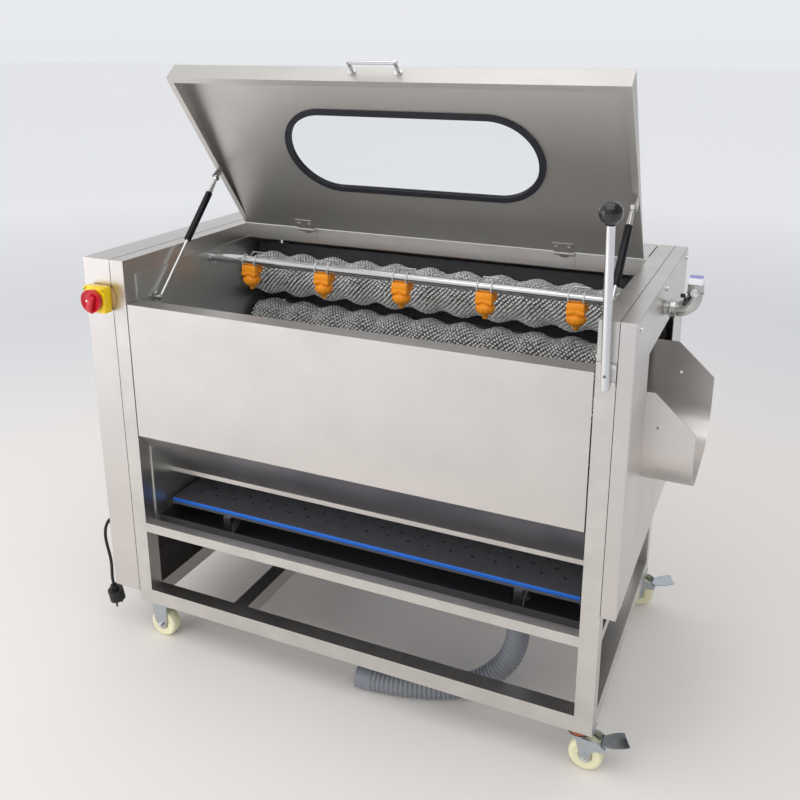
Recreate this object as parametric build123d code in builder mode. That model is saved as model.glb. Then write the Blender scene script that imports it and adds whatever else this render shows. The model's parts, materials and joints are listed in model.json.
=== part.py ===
from build123d import *
import math
import os

os.makedirs("parts", exist_ok=True)

# Roller washer for root vegetables: brushes turn in a steel trough under spray nozzles.
# Sizes are in millimetres. Places count from the middle of the frame at floor level:
# X along the machine towards its outlet, Y towards its back, Z up.
# Each written file is moved so that the origin is under the middle of the whole machine.

# Frame of square tube
frame_length = 1200
frame_depth = 700
rim_height = 1023
floor_clearance = 100
tube = 40
tube_wall = 2
weep_hole_radius = 3
slim_tube = 25
slim_tube_bottom = 311
cross_rail_x = -310
rear_rail_y = 186
weld_gap = 0.1
overrun = 5

# Sheet metal
sheet = 1.5
end_sheet = 3
panel_half_length = 557
rim_front_height = 918
rim_flange = 47
rim_lip = 12
panel_knee_height = 579
return_foot_height = 440
return_foot_y = 230
return_flange = 12
left_cover_depth = 82
left_cover_bottom = 127
right_cover_depth = 32
right_cover_bottom = 394
cover_corner = 3
bolt_head_radius = 6
bolt_head_height = 4
bolt_inset = 31
bolt_top_gap = 20
bolt_low_gap = 21

# Brush rollers
roller_count = 6
roller_half_length = 540
roller_ring = 183
ring_height = 741
crest_radius = 62
trough_radius = 50
wave_pitch = 98
core_radius = 38
shaft_radius = 10
running_gap = 0.05
strand_side = 11
strand_pitch = 43.2
strand_turns = 8
strand_root = 2

# Drive inside the left cover
bearing_radius = 30
bearing_depth = 12
hub_radius = 17
sprocket_radius = 36
sprocket_width = 6
sprocket_hub = 15
chain_gap = 0.5
chain_depth = 8
chain_width = 10
chain_plane_first = 20
chain_plane_step = 22
motor_y = 200
motor_height = 220
motor_radius = 50
motor_length = 140
gearbox_side = 96
gearbox_length = 82
motor_plate = 8
motor_plate_width = 150
motor_shaft_radius = 9
motor_bore_depth = 50
terminal_box = 34

# Outlet, gate and its lever
outlet_radius = 125
outlet_top = 871
spout_radius = 136
spout_sheet = 2
spout_end_x = 585
gate_radius = 130
gate_sheet = 5
gate_gap = 6
gate_axis_x = 582
gate_axis_height = 905
gate_shaft_radius = 8
gate_bracket_y = 142
gate_bracket = 6
gate_tab_width = 30
gate_tab_y = 90
lever_stand_off = 17
lever_radius = 8.5
lever_foot = 12
lever_lean_x = 7
lever_lean_y = 10
ball_height = 1228
ball_radius = 22
lever_pin_radius = 3.2
lever_pin_rise = 17
lever_plate_depth = 4
lever_plate_low = 897
lever_plate_high = 941
lever_plate_edge_gap = 1
plate_screw_radius = 4
plate_screw_inset = 5

# Discharge chute
chute_half_width = 180
chute_top = 829
chute_bottom = 600
chute_corner = 100
chute_start_x = 576
chute_shoulder_x = 650
chute_nose_x = 736
chute_nose_top = 750
chute_sheet = 2
chute_hole_radius = 3
chute_hole_x = 660
chute_hole_rise = 3
cover_hole_top = 911

# Lid, hinged at the back and shown open
hinge_y = 156
lid_angle = 121.45
lid_length = 517
lid_half_width = 555
lid_start = 8
flange_foot = 510
flange_depth = 46
lip_width = 15
hinge_radius = 6
hinge_pin_radius = 3
hinge_half_width = 25
hinge_mid_half = 10
hinge_step = 0.3
hinge_leaf = 2
hinge_leaf_length = 27
hinge_leaf_drop = 34
hinge_screw_x = 16
hinge_screw_s = 22
hinge_screw_radius = 5
hinge_screw_height = 4
hinge_x_left = -356
hinge_x_right = 364

# Window in the lid
window_centre_x = 16
window_centre_s = 277.5
window_length = 666
window_height = 249
gasket_width = 15
gasket_grip = 10
gasket_proud = 5
pane_grip = 3
pane_thick = 3

# Lid handle
handle_x = -4
handle_half_span = 56
handle_from_edge = 18.5
handle_reach = 33
handle_radius = 4.5
handle_nut_radius = 9
handle_nut_height = 4

# Gas struts
strut_x = 545
strut_foot_inset = 106
strut_foot_height = 910
strut_head_s = 200.7
strut_head_n = 42.5
strut_rod_radius = 4
strut_rod_shown = 171
strut_rod_hidden = 15
strut_barrel_radius = 9
strut_barrel_bore = 177
strut_barrel_neck = 14
strut_eye_radius = 8
strut_eye_width = 9
strut_pin_radius = 4
strut_pin_head = 6
strut_pin_head_width = 2
strut_plate = 3
strut_plate_width = 24
strut_plate_height = 30
strut_stud_gap = 0.3
strut_tab_width = 20

# Spray pipe and nozzles
pipe_radius = 12.5
pipe_bore = 10.5
pipe_height = 960
pipe_hole_gap = 0.5
pipe_end_x = 642
pipe_plate = 3
pipe_plate_height = 34
pipe_plate_width = 46
pipe_screw_radius = 4
pipe_screw_y = 17
nozzle_count = 5
nozzle_pitch = 219
clip_wire = 1.5
clip_bail_wire = 1.9
clip_ring_half = 2.2
clip_ring_radius = 15.5
clip_half_span = 18
clip_bail_back = 42
clip_bail_rise = 12
nozzle_block_width = 43
nozzle_block_depth = 36
nozzle_block_drop = 30
nozzle_body_radius = 22.5
nozzle_body_drop = 24
nozzle_socket_radius = 13
nozzle_tip_radius = 9.5
nozzle_mouth_radius = 6.3
nozzle_tip_bore = 2
nozzle_ball_radius = 12.9
nozzle_ball_rise = 4
nozzle_tip_end = 883

# Water inlet valve outside the right cover
collar_radius = 19
collar_width = 13
elbow_radius = 17
elbow_bend = 37
inlet_leg_radius = 13.5
inlet_leg_top = 1021
inlet_bore_radius = 8
inlet_port_radius = 12.4
inlet_port_bore = 7
inlet_port_height = 1003
inlet_port_reach = 34
inlet_thread_radius = 9.3
inlet_thread_depth = 16
knob_gap = 0.3
valve_knob_side = 31
valve_knob_height = 14
valve_knob_edge = 2

# Main switch on the left cover
switch_x = -628
switch_height = 929
switch_ring_radius = 38
switch_ring_depth = 4
switch_side = 64
switch_depth = 26
switch_edge = 4
switch_knob_radius = 26
switch_knob_depth = 15
switch_grip_width = 13
switch_grip_reach = 6
switch_grip_tail = 8
switch_bore_radius = 6
switch_bore_depth = 12

# Perforated tray and drain pan
tray_low_x = -545
tray_high_x = 540
tray_half_depth = 258
tray_top = 367
tray_flange = 16
tray_hole_radius = 4.5
tray_hole_pitch = 55
tray_row_pitch = 31
tray_gap = 0.3
runner_width = 20
runner_leg = 14
runner_sheet = 2
tray_bar_width = 20
tray_bar_depth = 6
tray_bar_left_x = -371
tray_bar_right_x = 402
tray_leg_y = 262
brace_foot_rise = 12
brace_run = 95
brace_width = 5
pan_bottom = 285
pan_half_depth = 300
pan_half_length = 557
spigot_x = 388
spigot_y = -190
spigot_length = 10
hose_radius = 27.5
hose_bore = 23

# Drain hose on the floor
rib_depth = 2.5
rib_pitch = 11
rib_crest_share = 0.45
rib_flank_share = 0.15
hose_cuff = 40
hose_fillet_share = 0.45
hose_route = [
    (388, -190, 275),
    (388, -190, 192),
    (378, -194, 132),
    (348, -204, 82),
    (302, -222, 46),
    (246, -246, 28),
    (182, -272, 28),
    (102, -294, 28),
    (18, -300, 28),
]

# Supply cable with its plug
cable_radius = 4
gland_radius = 11
gland_height = 8
gland_y = -322
gland_z = 306
cable_route = [
    (-690, -322, 306),
    (-703, -326, 300),
    (-710, -334, 288),
    (-709, -342, 270),
    (-704, -347, 248),
    (-698, -348, 224),
    (-694, -347, 198),
    (-695, -345, 172),
    (-698, -344, 148),
    (-699, -343, 126),
    (-698, -341, 112),
]
plug_radius = 20
plug_length = 32
plug_neck = 14
plug_pin_radius = 2.4
plug_pin_length = 19
plug_pin_spread = 9.5

# Castors
wheel_radius = 37.5
wheel_width = 32
wheel_edge = 6
wheel_hub_radius = 14
axle_radius = 5
axle_overhang = 3
castor_plate = 4
castor_plate_length = 76
castor_plate_width = 44
fork_sheet = 3
fork_gap = 1.5
fork_width = 36
fork_crown = 5
rigid_x = -541
rigid_inset = 24
swivel_x = 568
swivel_inset = 26
swivel_trail = 18
swivel_ring_radius = 24
swivel_ring_height = 8
swivel_gap = 0.3
swivel_pin_radius = 6
pedal_rise = 68
pedal_reach = 50
pedal_lift = 18
pedal_width = 34
pedal_sheet = 4
pedal_pin_radius = 3
pedal_from_axle = 36

# Places worked out from the sizes above
half_length = frame_length / 2
half_depth = frame_depth / 2
post_x = half_length - tube / 2
post_y = half_depth - tube / 2
post_top = rim_height - tube
bottom_rail_top = floor_clearance + tube
inner_x = half_length - tube
rigid_y = half_depth - rigid_inset
swivel_y = half_depth - swivel_inset
strut_foot_y = strut_foot_inset - half_depth
lever_y = -half_depth - lever_stand_off
chute_hole_height = chute_nose_top + chute_hole_rise
inner_y = half_depth - tube
slim_top = slim_tube_bottom + slim_tube
left_cover_x = -half_length - left_cover_depth
right_cover_x = half_length + right_cover_depth
wall_inner_x = inner_x - end_sheet
valve_x = pipe_end_x + collar_width + elbow_bend
switch_reach = switch_ring_depth + switch_depth + knob_gap + switch_knob_depth + switch_grip_reach
front_reach = half_depth + switch_reach

ring_places = [
    (roller_ring * math.cos(turn), ring_height - roller_ring * math.sin(turn))
    for turn in [math.pi * step / (roller_count - 2) for step in range(roller_count - 1)]
]
roller_spacing = math.dist(ring_places[0], ring_places[1])
roller_places = [(roller_ring, ring_height + roller_spacing)] + ring_places
nozzle_places = [nozzle_pitch * (step - (nozzle_count - 1) / 2) for step in range(nozzle_count)]

lid_turn = math.radians(lid_angle)
lid_plane = Plane(
    origin=(0, hinge_y, rim_height),
    x_dir=(1, 0, 0),
    z_dir=(0, -math.sin(lid_turn), math.cos(lid_turn)),
)
strut_foot = Vector(0, strut_foot_y, strut_foot_height)
strut_head = lid_plane.from_local_coords(Vector(0, strut_head_s, strut_head_n))
strut_line = (strut_head - strut_foot).normalized()
strut_length = (strut_head - strut_foot).length
strut_plane = Plane(origin=strut_foot, x_dir=(1, 0, 0), z_dir=strut_line)

middle_x = (chute_nose_x + left_cover_x - bolt_head_height) / 2
middle_y = (half_depth - front_reach) / 2
to_origin = Location((-middle_x, -middle_y, 0))


def bent_outline(points, thickness):
    """Closed outline of a folded sheet: one face runs through the points, the other
    lies one thickness to the left of it, mitred at each fold."""
    steps = [
        (b[0] - a[0], b[1] - a[1]) for a, b in zip(points, points[1:])
    ]
    lefts = [(-dy / math.hypot(dx, dy), dx / math.hypot(dx, dy)) for dx, dy in steps]
    inner = []
    for index, point in enumerate(points):
        before = lefts[max(index - 1, 0)]
        after = lefts[min(index, len(lefts) - 1)]
        share = 1 + before[0] * after[0] + before[1] * after[1]
        inner.append(
            (
                point[0] + thickness * (before[0] + after[0]) / share,
                point[1] + thickness * (before[1] + after[1]) / share,
            )
        )
    return list(points) + inner[::-1]


def folded_sheet(plane, points, thickness):
    """Face of a folded sheet's section on a plane."""
    with BuildSketch(plane) as section:
        with BuildLine():
            Polyline(*bent_outline(points, thickness), close=True)
        make_face()
    return section.sketch


def square_tube(start, length, side, direction):
    """Hollow square tube along an axis, from the middle of its first end."""
    with BuildSketch(Plane(origin=start, z_dir=direction)) as section:
        Rectangle(side, side)
        Rectangle(side - 2 * tube_wall, side - 2 * tube_wall, mode=Mode.SUBTRACT)
    extrude(section.sketch, amount=length)


def trough_section(plane, half_width, top, radius):
    """U shape: straight sides, and a round bottom about the ring's middle height."""
    with BuildSketch(plane) as section:
        with Locations((0, ring_height)):
            Circle(radius)
        with Locations((0, (top + ring_height) / 2)):
            Rectangle(2 * half_width, top - ring_height)
        with Locations((0, top + radius)):
            Rectangle(2 * radius, 2 * radius, mode=Mode.SUBTRACT)
    return section.sketch


def chute_section(plane, inset, top):
    """Upright U with round lower corners, its outer face drawn in by the inset."""
    width = 2 * (chute_half_width - inset)
    bottom = chute_bottom + inset
    with BuildSketch(plane) as section:
        with Locations((0, (top + bottom) / 2)):
            Rectangle(width, top - bottom)
        fillet(section.vertices().group_by(Axis.Y)[0], chute_corner - inset)
    return section.sketch


def stadium(plane, length, height):
    """Slot shape with round ends, centred on the window."""
    with BuildSketch(plane) as section:
        with Locations((window_centre_x, window_centre_s)):
            SlotOverall(length, height)
    return section.sketch


def rounded_route(points, share):
    """Path of straight runs and tangent arcs, with the arcs' radii."""
    corners = [Vector(*point) for point in points]
    radii = []
    for a, b, c in zip(corners, corners[1:], corners[2:]):
        turn = math.radians((b - a).get_angle(c - b))
        radii.append(share * min((b - a).length, (c - b).length) / math.tan(turn / 2))
    with BuildLine() as path:
        FilletPolyline(*points, radius=radii)
    return path.wires()[0], radii


# Frame: four posts, the rails between them and the cross rail
with BuildPart() as frame_tubes:
    for side_x in (-1, 1):
        for side_y in (-1, 1):
            square_tube(
                (side_x * post_x, side_y * post_y, floor_clearance),
                post_top - floor_clearance - weld_gap,
                tube,
                (0, 0, 1),
            )
        square_tube(
            (side_x * post_x, -half_depth, rim_height - tube / 2), frame_depth, tube, (0, 1, 0)
        )
        # Welded caps close the rail's ends, the rear one with a weep hole
        with BuildSketch(Plane.XZ.offset(half_depth - tube_wall)):
            with Locations((side_x * post_x, rim_height - tube / 2)):
                Rectangle(tube, tube)
        extrude(amount=tube_wall)
        with BuildSketch(Plane.XZ.offset(-half_depth)):
            with Locations((side_x * post_x, rim_height - tube / 2)):
                Rectangle(tube, tube)
                Circle(weep_hole_radius, mode=Mode.SUBTRACT)
        extrude(amount=tube_wall)
        square_tube(
            (side_x * post_x, -inner_y + weld_gap, floor_clearance + tube / 2),
            2 * (inner_y - weld_gap),
            tube,
            (0, 1, 0),
        )
        square_tube(
            (side_x * (half_length - slim_tube / 2), -inner_y + weld_gap, slim_top - slim_tube / 2),
            2 * (inner_y - weld_gap),
            slim_tube,
            (0, 1, 0),
        )
    for side_y in (-1, 1):
        square_tube(
            (-inner_x + weld_gap, side_y * post_y, floor_clearance + tube / 2),
            2 * (inner_x - weld_gap),
            tube,
            (1, 0, 0),
        )
        square_tube(
            (-inner_x + weld_gap, side_y * (half_depth - slim_tube / 2), slim_top - slim_tube / 2),
            2 * (inner_x - weld_gap),
            slim_tube,
            (1, 0, 0),
        )
    square_tube(
        (-inner_x + weld_gap, rear_rail_y, rim_height - tube / 2),
        2 * (inner_x - weld_gap),
        tube,
        (1, 0, 0),
    )
    square_tube(
        (cross_rail_x, -inner_y + weld_gap, floor_clearance + tube / 2),
        2 * (inner_y - weld_gap),
        tube,
        (0, 1, 0),
    )
    # The gate's shaft turns in the outlet's front post
    with Locations(Plane(origin=(gate_axis_x, -post_y, gate_axis_height), z_dir=(0, 1, 0))):
        Cylinder(gate_shaft_radius + running_gap, tube + overrun, mode=Mode.SUBTRACT)
frame_tubes.part.label = "frame_tubes"

# Sheet that closes the trough at the drive end
with BuildPart() as left_end_wall:
    with BuildSketch(Plane.YZ.offset(-inner_x)) as section:
        with Locations((0, (slim_tube_bottom + post_top) / 2)):
            Rectangle(2 * inner_y, post_top - slim_tube_bottom)
        with Locations(*roller_places):
            Circle(hub_radius, mode=Mode.SUBTRACT)
    extrude(amount=end_sheet)
left_end_wall.part.label = "left_end_wall"

# Sheet that closes the outlet end, with the spout welded to it
with BuildPart() as right_end_wall:
    with BuildSketch(Plane.YZ.offset(wall_inner_x)) as section:
        with Locations((0, (slim_tube_bottom + post_top) / 2)):
            Rectangle(2 * inner_y, post_top - slim_tube_bottom)
        with Locations(*roller_places):
            Circle(hub_radius, mode=Mode.SUBTRACT)
        with Locations((0, pipe_height)):
            Circle(pipe_radius + pipe_hole_gap, mode=Mode.SUBTRACT)
    extrude(amount=end_sheet)
    extrude(
        trough_section(
            Plane.YZ.offset(inner_x), spout_radius + spout_sheet, outlet_top, spout_radius + spout_sheet
        ),
        amount=spout_end_x - inner_x,
    )
    extrude(
        trough_section(Plane.YZ.offset(inner_x), spout_radius, outlet_top + overrun, spout_radius),
        amount=spout_end_x - inner_x + overrun,
        mode=Mode.SUBTRACT,
    )
    extrude(
        trough_section(Plane.YZ.offset(wall_inner_x - overrun), outlet_radius, outlet_top, outlet_radius),
        amount=end_sheet + 2 * overrun,
        mode=Mode.SUBTRACT,
    )
    # Bracket for the rear end of the gate's shaft
    with BuildSketch(Plane.XZ.offset(-gate_bracket_y - gate_bracket)):
        with Locations(((inner_x + gate_axis_x + 2 * gate_shaft_radius) / 2, gate_axis_height)):
            Rectangle(gate_axis_x + 2 * gate_shaft_radius - inner_x, 2 * hub_radius)
        with Locations((gate_axis_x, gate_axis_height)):
            Circle(gate_shaft_radius + running_gap, mode=Mode.SUBTRACT)
    extrude(amount=gate_bracket)
right_end_wall.part.label = "right_end_wall"

# Front panel: rim flange with a lip, upright face, and the return under the brushes
with BuildPart() as front_panel:
    front_line = [
        (-half_depth + rim_flange, rim_front_height - rim_lip),
        (-half_depth + rim_flange, rim_front_height),
        (-half_depth, rim_front_height),
        (-half_depth, panel_knee_height),
        (-return_foot_y, return_foot_height),
        (-return_foot_y, return_foot_height - return_flange),
    ]
    extrude(
        folded_sheet(Plane.YZ.offset(-panel_half_length), front_line, sheet),
        amount=2 * panel_half_length,
    )
front_panel.part.label = "front_panel"

# Rear panel, which also covers the top behind the rear rail
with BuildPart() as rear_panel:
    rear_line = [
        (return_foot_y, return_foot_height - return_flange),
        (return_foot_y, return_foot_height),
        (half_depth, panel_knee_height),
        (half_depth, rim_height),
        (rear_rail_y + tube / 2, rim_height),
    ]
    extrude(
        folded_sheet(Plane.YZ.offset(-panel_half_length), rear_line, sheet),
        amount=2 * panel_half_length,
    )
rear_panel.part.label = "rear_panel"

# Cover over the drive
left_cover_height = rim_height - left_cover_bottom
with BuildPart() as left_cover:
    with Locations((-half_length - left_cover_depth / 2, 0, left_cover_bottom + left_cover_height / 2)):
        Box(left_cover_depth, frame_depth, left_cover_height)
    fillet(left_cover.faces().sort_by(Axis.X)[0].edges(), cover_corner)
    offset(amount=-sheet, openings=left_cover.faces().sort_by(Axis.X)[-1])
left_cover.part.label = "left_cover"

# Cover at the outlet end, with the hole round the chute
right_cover_height = rim_height - right_cover_bottom
with BuildPart() as right_cover:
    with Locations((half_length + right_cover_depth / 2, 0, right_cover_bottom + right_cover_height / 2)):
        Box(right_cover_depth, frame_depth, right_cover_height)
    fillet(right_cover.faces().sort_by(Axis.X)[-1].edges(), cover_corner)
    offset(amount=-sheet, openings=right_cover.faces().sort_by(Axis.X)[0])
    extrude(
        chute_section(Plane.YZ.offset(right_cover_x - right_cover_depth / 2), 0, cover_hole_top),
        amount=right_cover_depth,
        mode=Mode.SUBTRACT,
    )
    with Locations(Plane(origin=(right_cover_x, 0, pipe_height), z_dir=(1, 0, 0))):
        Cylinder(pipe_radius + pipe_hole_gap, right_cover_depth, mode=Mode.SUBTRACT)
right_cover.part.label = "right_cover"

# Domed screws that hold both covers
right_bolt_places = [
    (-half_depth + bolt_inset, rim_height - bolt_top_gap),
    (0, rim_height - bolt_top_gap),
    (half_depth - bolt_inset, rim_height - bolt_top_gap),
    (-half_depth + bolt_inset, right_cover_bottom + bolt_low_gap),
    (half_depth - bolt_inset, right_cover_bottom + bolt_low_gap),
]
left_bolt_places = [
    (side_y * (half_depth - bolt_inset), height)
    for side_y in (-1, 1)
    for height in (rim_height - bolt_top_gap, left_cover_bottom + bolt_low_gap)
]
with BuildPart() as cover_bolts:
    for face_x, places, direction in (
        (right_cover_x, right_bolt_places, 1),
        (left_cover_x, left_bolt_places, -1),
    ):
        with BuildSketch(Plane.YZ.offset(face_x)):
            with Locations(*places):
                Circle(bolt_head_radius)
        extrude(amount=direction * bolt_head_height)
    with BuildSketch(Plane.XZ.offset(half_depth + lever_plate_depth)):
        for edge in (lever_plate_low + plate_screw_inset, lever_plate_high - plate_screw_inset):
            with Locations((half_length - lever_plate_edge_gap - plate_screw_inset, edge)):
                Circle(plate_screw_radius)
    extrude(amount=bolt_head_height / 2)
cover_bolts.part.label = "cover_bolts"

# Chute that the washed vegetables leave by
with BuildPart() as discharge_chute:
    chute_length = chute_nose_x - chute_start_x
    extrude(chute_section(Plane.YZ.offset(chute_start_x), 0, chute_top), amount=chute_length)
    extrude(
        chute_section(Plane.YZ.offset(chute_start_x - overrun), chute_sheet, chute_top + overrun),
        amount=chute_length + 2 * overrun,
        mode=Mode.SUBTRACT,
    )
    with BuildSketch(Plane.XZ):
        with BuildLine():
            Polyline(
                (chute_shoulder_x, chute_top),
                (chute_nose_x, chute_nose_top),
                (chute_nose_x + overrun, chute_nose_top),
                (chute_nose_x + overrun, chute_top + overrun),
                (chute_shoulder_x, chute_top + overrun),
                close=True,
            )
        make_face()
        with Locations((chute_hole_x, chute_hole_height)):
            Circle(chute_hole_radius)
    extrude(amount=half_depth, both=True, mode=Mode.SUBTRACT)
discharge_chute.part.label = "discharge_chute"

# Drain pan under the tray, with the spigot for the hose
pan_height = slim_top - pan_bottom
with BuildPart() as drain_pan:
    with Locations((0, 0, pan_bottom + pan_height / 2)):
        Box(2 * pan_half_length, 2 * pan_half_depth, pan_height)
    offset(amount=-sheet, openings=drain_pan.faces().sort_by(Axis.Z)[-1])
    with BuildSketch(Plane.XY.offset(pan_bottom)):
        with Locations((spigot_x, spigot_y)):
            Circle(hose_radius)
    extrude(amount=-spigot_length)
    with BuildSketch(Plane.XY.offset(pan_bottom - spigot_length - overrun)):
        with Locations((spigot_x, spigot_y)):
            Circle(hose_bore)
    extrude(amount=spigot_length + sheet + 2 * overrun, mode=Mode.SUBTRACT)
drain_pan.part.label = "drain_pan"

# Runners and bars that the tray slides on
rest_height = tray_top - tray_flange - tray_gap
with BuildPart() as tray_supports:
    for side_x in (-1, 1):
        runner_line = [
            (side_x * pan_half_length, rest_height - runner_leg),
            (side_x * pan_half_length, rest_height),
            (side_x * (pan_half_length - runner_width), rest_height),
        ]
        extrude(
            folded_sheet(Plane.XZ.offset(tray_half_depth), runner_line, side_x * runner_sheet),
            amount=-2 * tray_half_depth,
        )
    for bar_x in (tray_bar_left_x, tray_bar_right_x):
        with Locations((bar_x, 0, rest_height - tray_bar_depth / 2)):
            Box(tray_bar_width, 2 * tray_leg_y + tray_bar_depth, tray_bar_depth)
        leg_height = rest_height - pan_bottom - sheet
        for side_y in (-1, 1):
            with Locations((bar_x, side_y * tray_leg_y, pan_bottom + sheet + leg_height / 2)):
                Box(tray_bar_width, tray_bar_depth, leg_height)
            brace_low = pan_bottom + sheet + brace_foot_rise
            with BuildSketch(Plane.YZ.offset(bar_x - tray_bar_width / 2)):
                with BuildLine():
                    Polyline(
                        (side_y * tray_leg_y, brace_low),
                        (side_y * (tray_leg_y - brace_run), rest_height - tray_bar_depth / 2),
                        (side_y * (tray_leg_y - brace_run - brace_width), rest_height - tray_bar_depth / 2),
                        (side_y * tray_leg_y, brace_low - brace_width),
                        close=True,
                    )
                make_face()
            extrude(amount=tray_bar_width)
tray_supports.part.label = "tray_supports"

# Spray pipe with its end plate and the wire clips of the nozzles
with BuildPart() as spray_pipe:
    with BuildSketch(Plane.YZ.offset(-wall_inner_x)):
        with Locations((0, pipe_height)):
            Circle(pipe_radius)
    extrude(amount=wall_inner_x + pipe_end_x)
    with BuildSketch(Plane.YZ.offset(-wall_inner_x)):
        with Locations((0, pipe_height)):
            SlotOverall(pipe_plate_width, pipe_plate_height)
    extrude(amount=pipe_plate)
    with BuildSketch(Plane.YZ.offset(-wall_inner_x + pipe_plate)):
        with Locations((-pipe_screw_y, pipe_height), (pipe_screw_y, pipe_height)):
            Circle(pipe_screw_radius)
    extrude(amount=bolt_head_height / 2)
    for nozzle_x in nozzle_places:
        for side in (-1, 1):
            with BuildSketch(Plane.YZ.offset(nozzle_x + side * clip_half_span - clip_ring_half)):
                with Locations((0, pipe_height)):
                    Circle(clip_ring_radius)
            extrude(amount=2 * clip_ring_half)
            with BuildLine(Plane.YZ.offset(nozzle_x + side * clip_half_span)) as rise:
                Line(
                    (pipe_radius, pipe_height + clip_wire),
                    (clip_bail_back, pipe_height + clip_wire + clip_bail_rise),
                )
            with BuildSketch(Plane(origin=rise.line @ 0, z_dir=rise.line % 0)):
                Circle(clip_wire)
            extrude(amount=rise.wires()[0].length)
        with Locations(
            Plane(
                origin=(nozzle_x, clip_bail_back, pipe_height + clip_wire + clip_bail_rise),
                z_dir=(1, 0, 0),
            )
        ):
            Cylinder(clip_bail_wire, 2 * clip_half_span + 4 * clip_wire)
    with BuildSketch(Plane.YZ.offset(-wall_inner_x + 2 * pipe_plate)):
        with Locations((0, pipe_height)):
            Circle(pipe_bore)
    extrude(amount=wall_inner_x + pipe_end_x, mode=Mode.SUBTRACT)
spray_pipe.part.label = "spray_pipe"

# Nozzle bodies hang from the pipe; each has a socket for its tip
block_top = pipe_height - pipe_radius
body_top = block_top - nozzle_block_drop
body_foot = body_top - nozzle_body_drop
ball_height_low = body_foot + nozzle_ball_rise
with BuildPart() as nozzle_bodies:
    for nozzle_x in nozzle_places:
        with BuildSketch(Plane.XY.offset(body_top)):
            with Locations((nozzle_x, 0)):
                Rectangle(nozzle_block_width, nozzle_block_depth)
        extrude(amount=nozzle_block_drop)
        with BuildSketch(Plane.XY.offset(body_foot)):
            with Locations((nozzle_x, 0)):
                Circle(nozzle_body_radius)
        extrude(amount=nozzle_body_drop)
        with BuildSketch(Plane.XY.offset(body_foot - overrun)):
            with Locations((nozzle_x, 0)):
                Circle(nozzle_socket_radius)
        extrude(amount=nozzle_ball_rise + overrun, mode=Mode.SUBTRACT)
        with Locations((nozzle_x, 0, ball_height_low)):
            Sphere(nozzle_socket_radius, mode=Mode.SUBTRACT)
    # The blocks are hollowed to the pipe's round underside and to the clips
    with Locations(Plane(origin=(0, 0, pipe_height), z_dir=(1, 0, 0))):
        Cylinder(pipe_radius, 2 * wall_inner_x, mode=Mode.SUBTRACT)
    for nozzle_x in nozzle_places:
        for side in (-1, 1):
            clip_middle = Plane(origin=(nozzle_x + side * clip_half_span, 0, pipe_height), z_dir=(1, 0, 0))
            with Locations(clip_middle):
                Cylinder(clip_ring_radius, 2 * clip_ring_half, mode=Mode.SUBTRACT)
nozzle_bodies.part.label = "nozzle_bodies"

# Nozzle tips, each on a ball that swivels in its socket
nozzle_tips = []
for number, nozzle_x in enumerate(nozzle_places, 1):
    with BuildPart() as nozzle_tip:
        with Locations((nozzle_x, 0, ball_height_low)):
            Sphere(nozzle_ball_radius)
        with BuildSketch(Plane.XY.offset(nozzle_tip_end)):
            with Locations((nozzle_x, 0)):
                Circle(nozzle_mouth_radius)
        with BuildSketch(Plane.XY.offset(ball_height_low - nozzle_ball_rise)):
            with Locations((nozzle_x, 0)):
                Circle(nozzle_tip_radius)
        loft()
        with BuildSketch(Plane.XY.offset(nozzle_tip_end - overrun)):
            with Locations((nozzle_x, 0)):
                Circle(nozzle_tip_bore)
        extrude(amount=2 * overrun + nozzle_ball_rise, mode=Mode.SUBTRACT)
    nozzle_tip.part.label = f"nozzle_tip_{number}"
    nozzle_tips.append(nozzle_tip)

# Collar, elbow and angle valve outside the right cover
with BuildPart() as inlet_valve:
    with BuildSketch(Plane.YZ.offset(pipe_end_x)):
        with Locations((0, pipe_height)):
            Circle(collar_radius)
    extrude(amount=collar_width)
    with BuildLine() as bend:
        Line((pipe_end_x, 0, pipe_height), (pipe_end_x + collar_width, 0, pipe_height))
        ThreePointArc(
            (pipe_end_x + collar_width, 0, pipe_height),
            (
                pipe_end_x + collar_width + elbow_bend * math.sin(math.pi / 4),
                0,
                pipe_height + elbow_bend * (1 - math.cos(math.pi / 4)),
            ),
            (valve_x, 0, pipe_height + elbow_bend),
        )
        Line((valve_x, 0, pipe_height + elbow_bend), (valve_x, 0, inlet_leg_top - elbow_radius / 2))
    bend_path = bend.wires()[0]
    with BuildSketch(Plane(origin=bend_path @ 0, z_dir=bend_path % 0)):
        Circle(inlet_leg_radius)
    sweep(path=bend_path)
    with Locations((valve_x, 0, (inlet_port_height + inlet_leg_top) / 2)):
        Cylinder(elbow_radius, inlet_leg_top - inlet_port_height)
    with BuildSketch(Plane.XZ):
        with Locations((valve_x, inlet_port_height)):
            Circle(inlet_port_radius)
    extrude(amount=-inlet_port_reach)
    with BuildSketch(Plane(origin=bend_path @ 0, z_dir=bend_path % 0)):
        Circle(inlet_bore_radius)
    sweep(path=bend_path, mode=Mode.SUBTRACT)
    with BuildSketch(Plane.XZ):
        with Locations((valve_x, inlet_port_height)):
            Circle(inlet_port_bore)
    extrude(amount=-inlet_port_reach, mode=Mode.SUBTRACT)
    with BuildSketch(Plane.XZ.offset(-inlet_port_reach - overrun)):
        with Locations((valve_x, inlet_port_height)):
            Circle(inlet_thread_radius)
    extrude(amount=inlet_thread_depth + overrun, mode=Mode.SUBTRACT)
inlet_valve.part.label = "inlet_valve"

with BuildPart() as valve_knob:
    with Locations((valve_x, 0, inlet_leg_top + knob_gap + valve_knob_height / 2)):
        Box(valve_knob_side, valve_knob_side, valve_knob_height)
    fillet(valve_knob.edges().filter_by(Axis.Z), valve_knob_edge)
valve_knob.part.label = "valve_knob"

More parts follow.
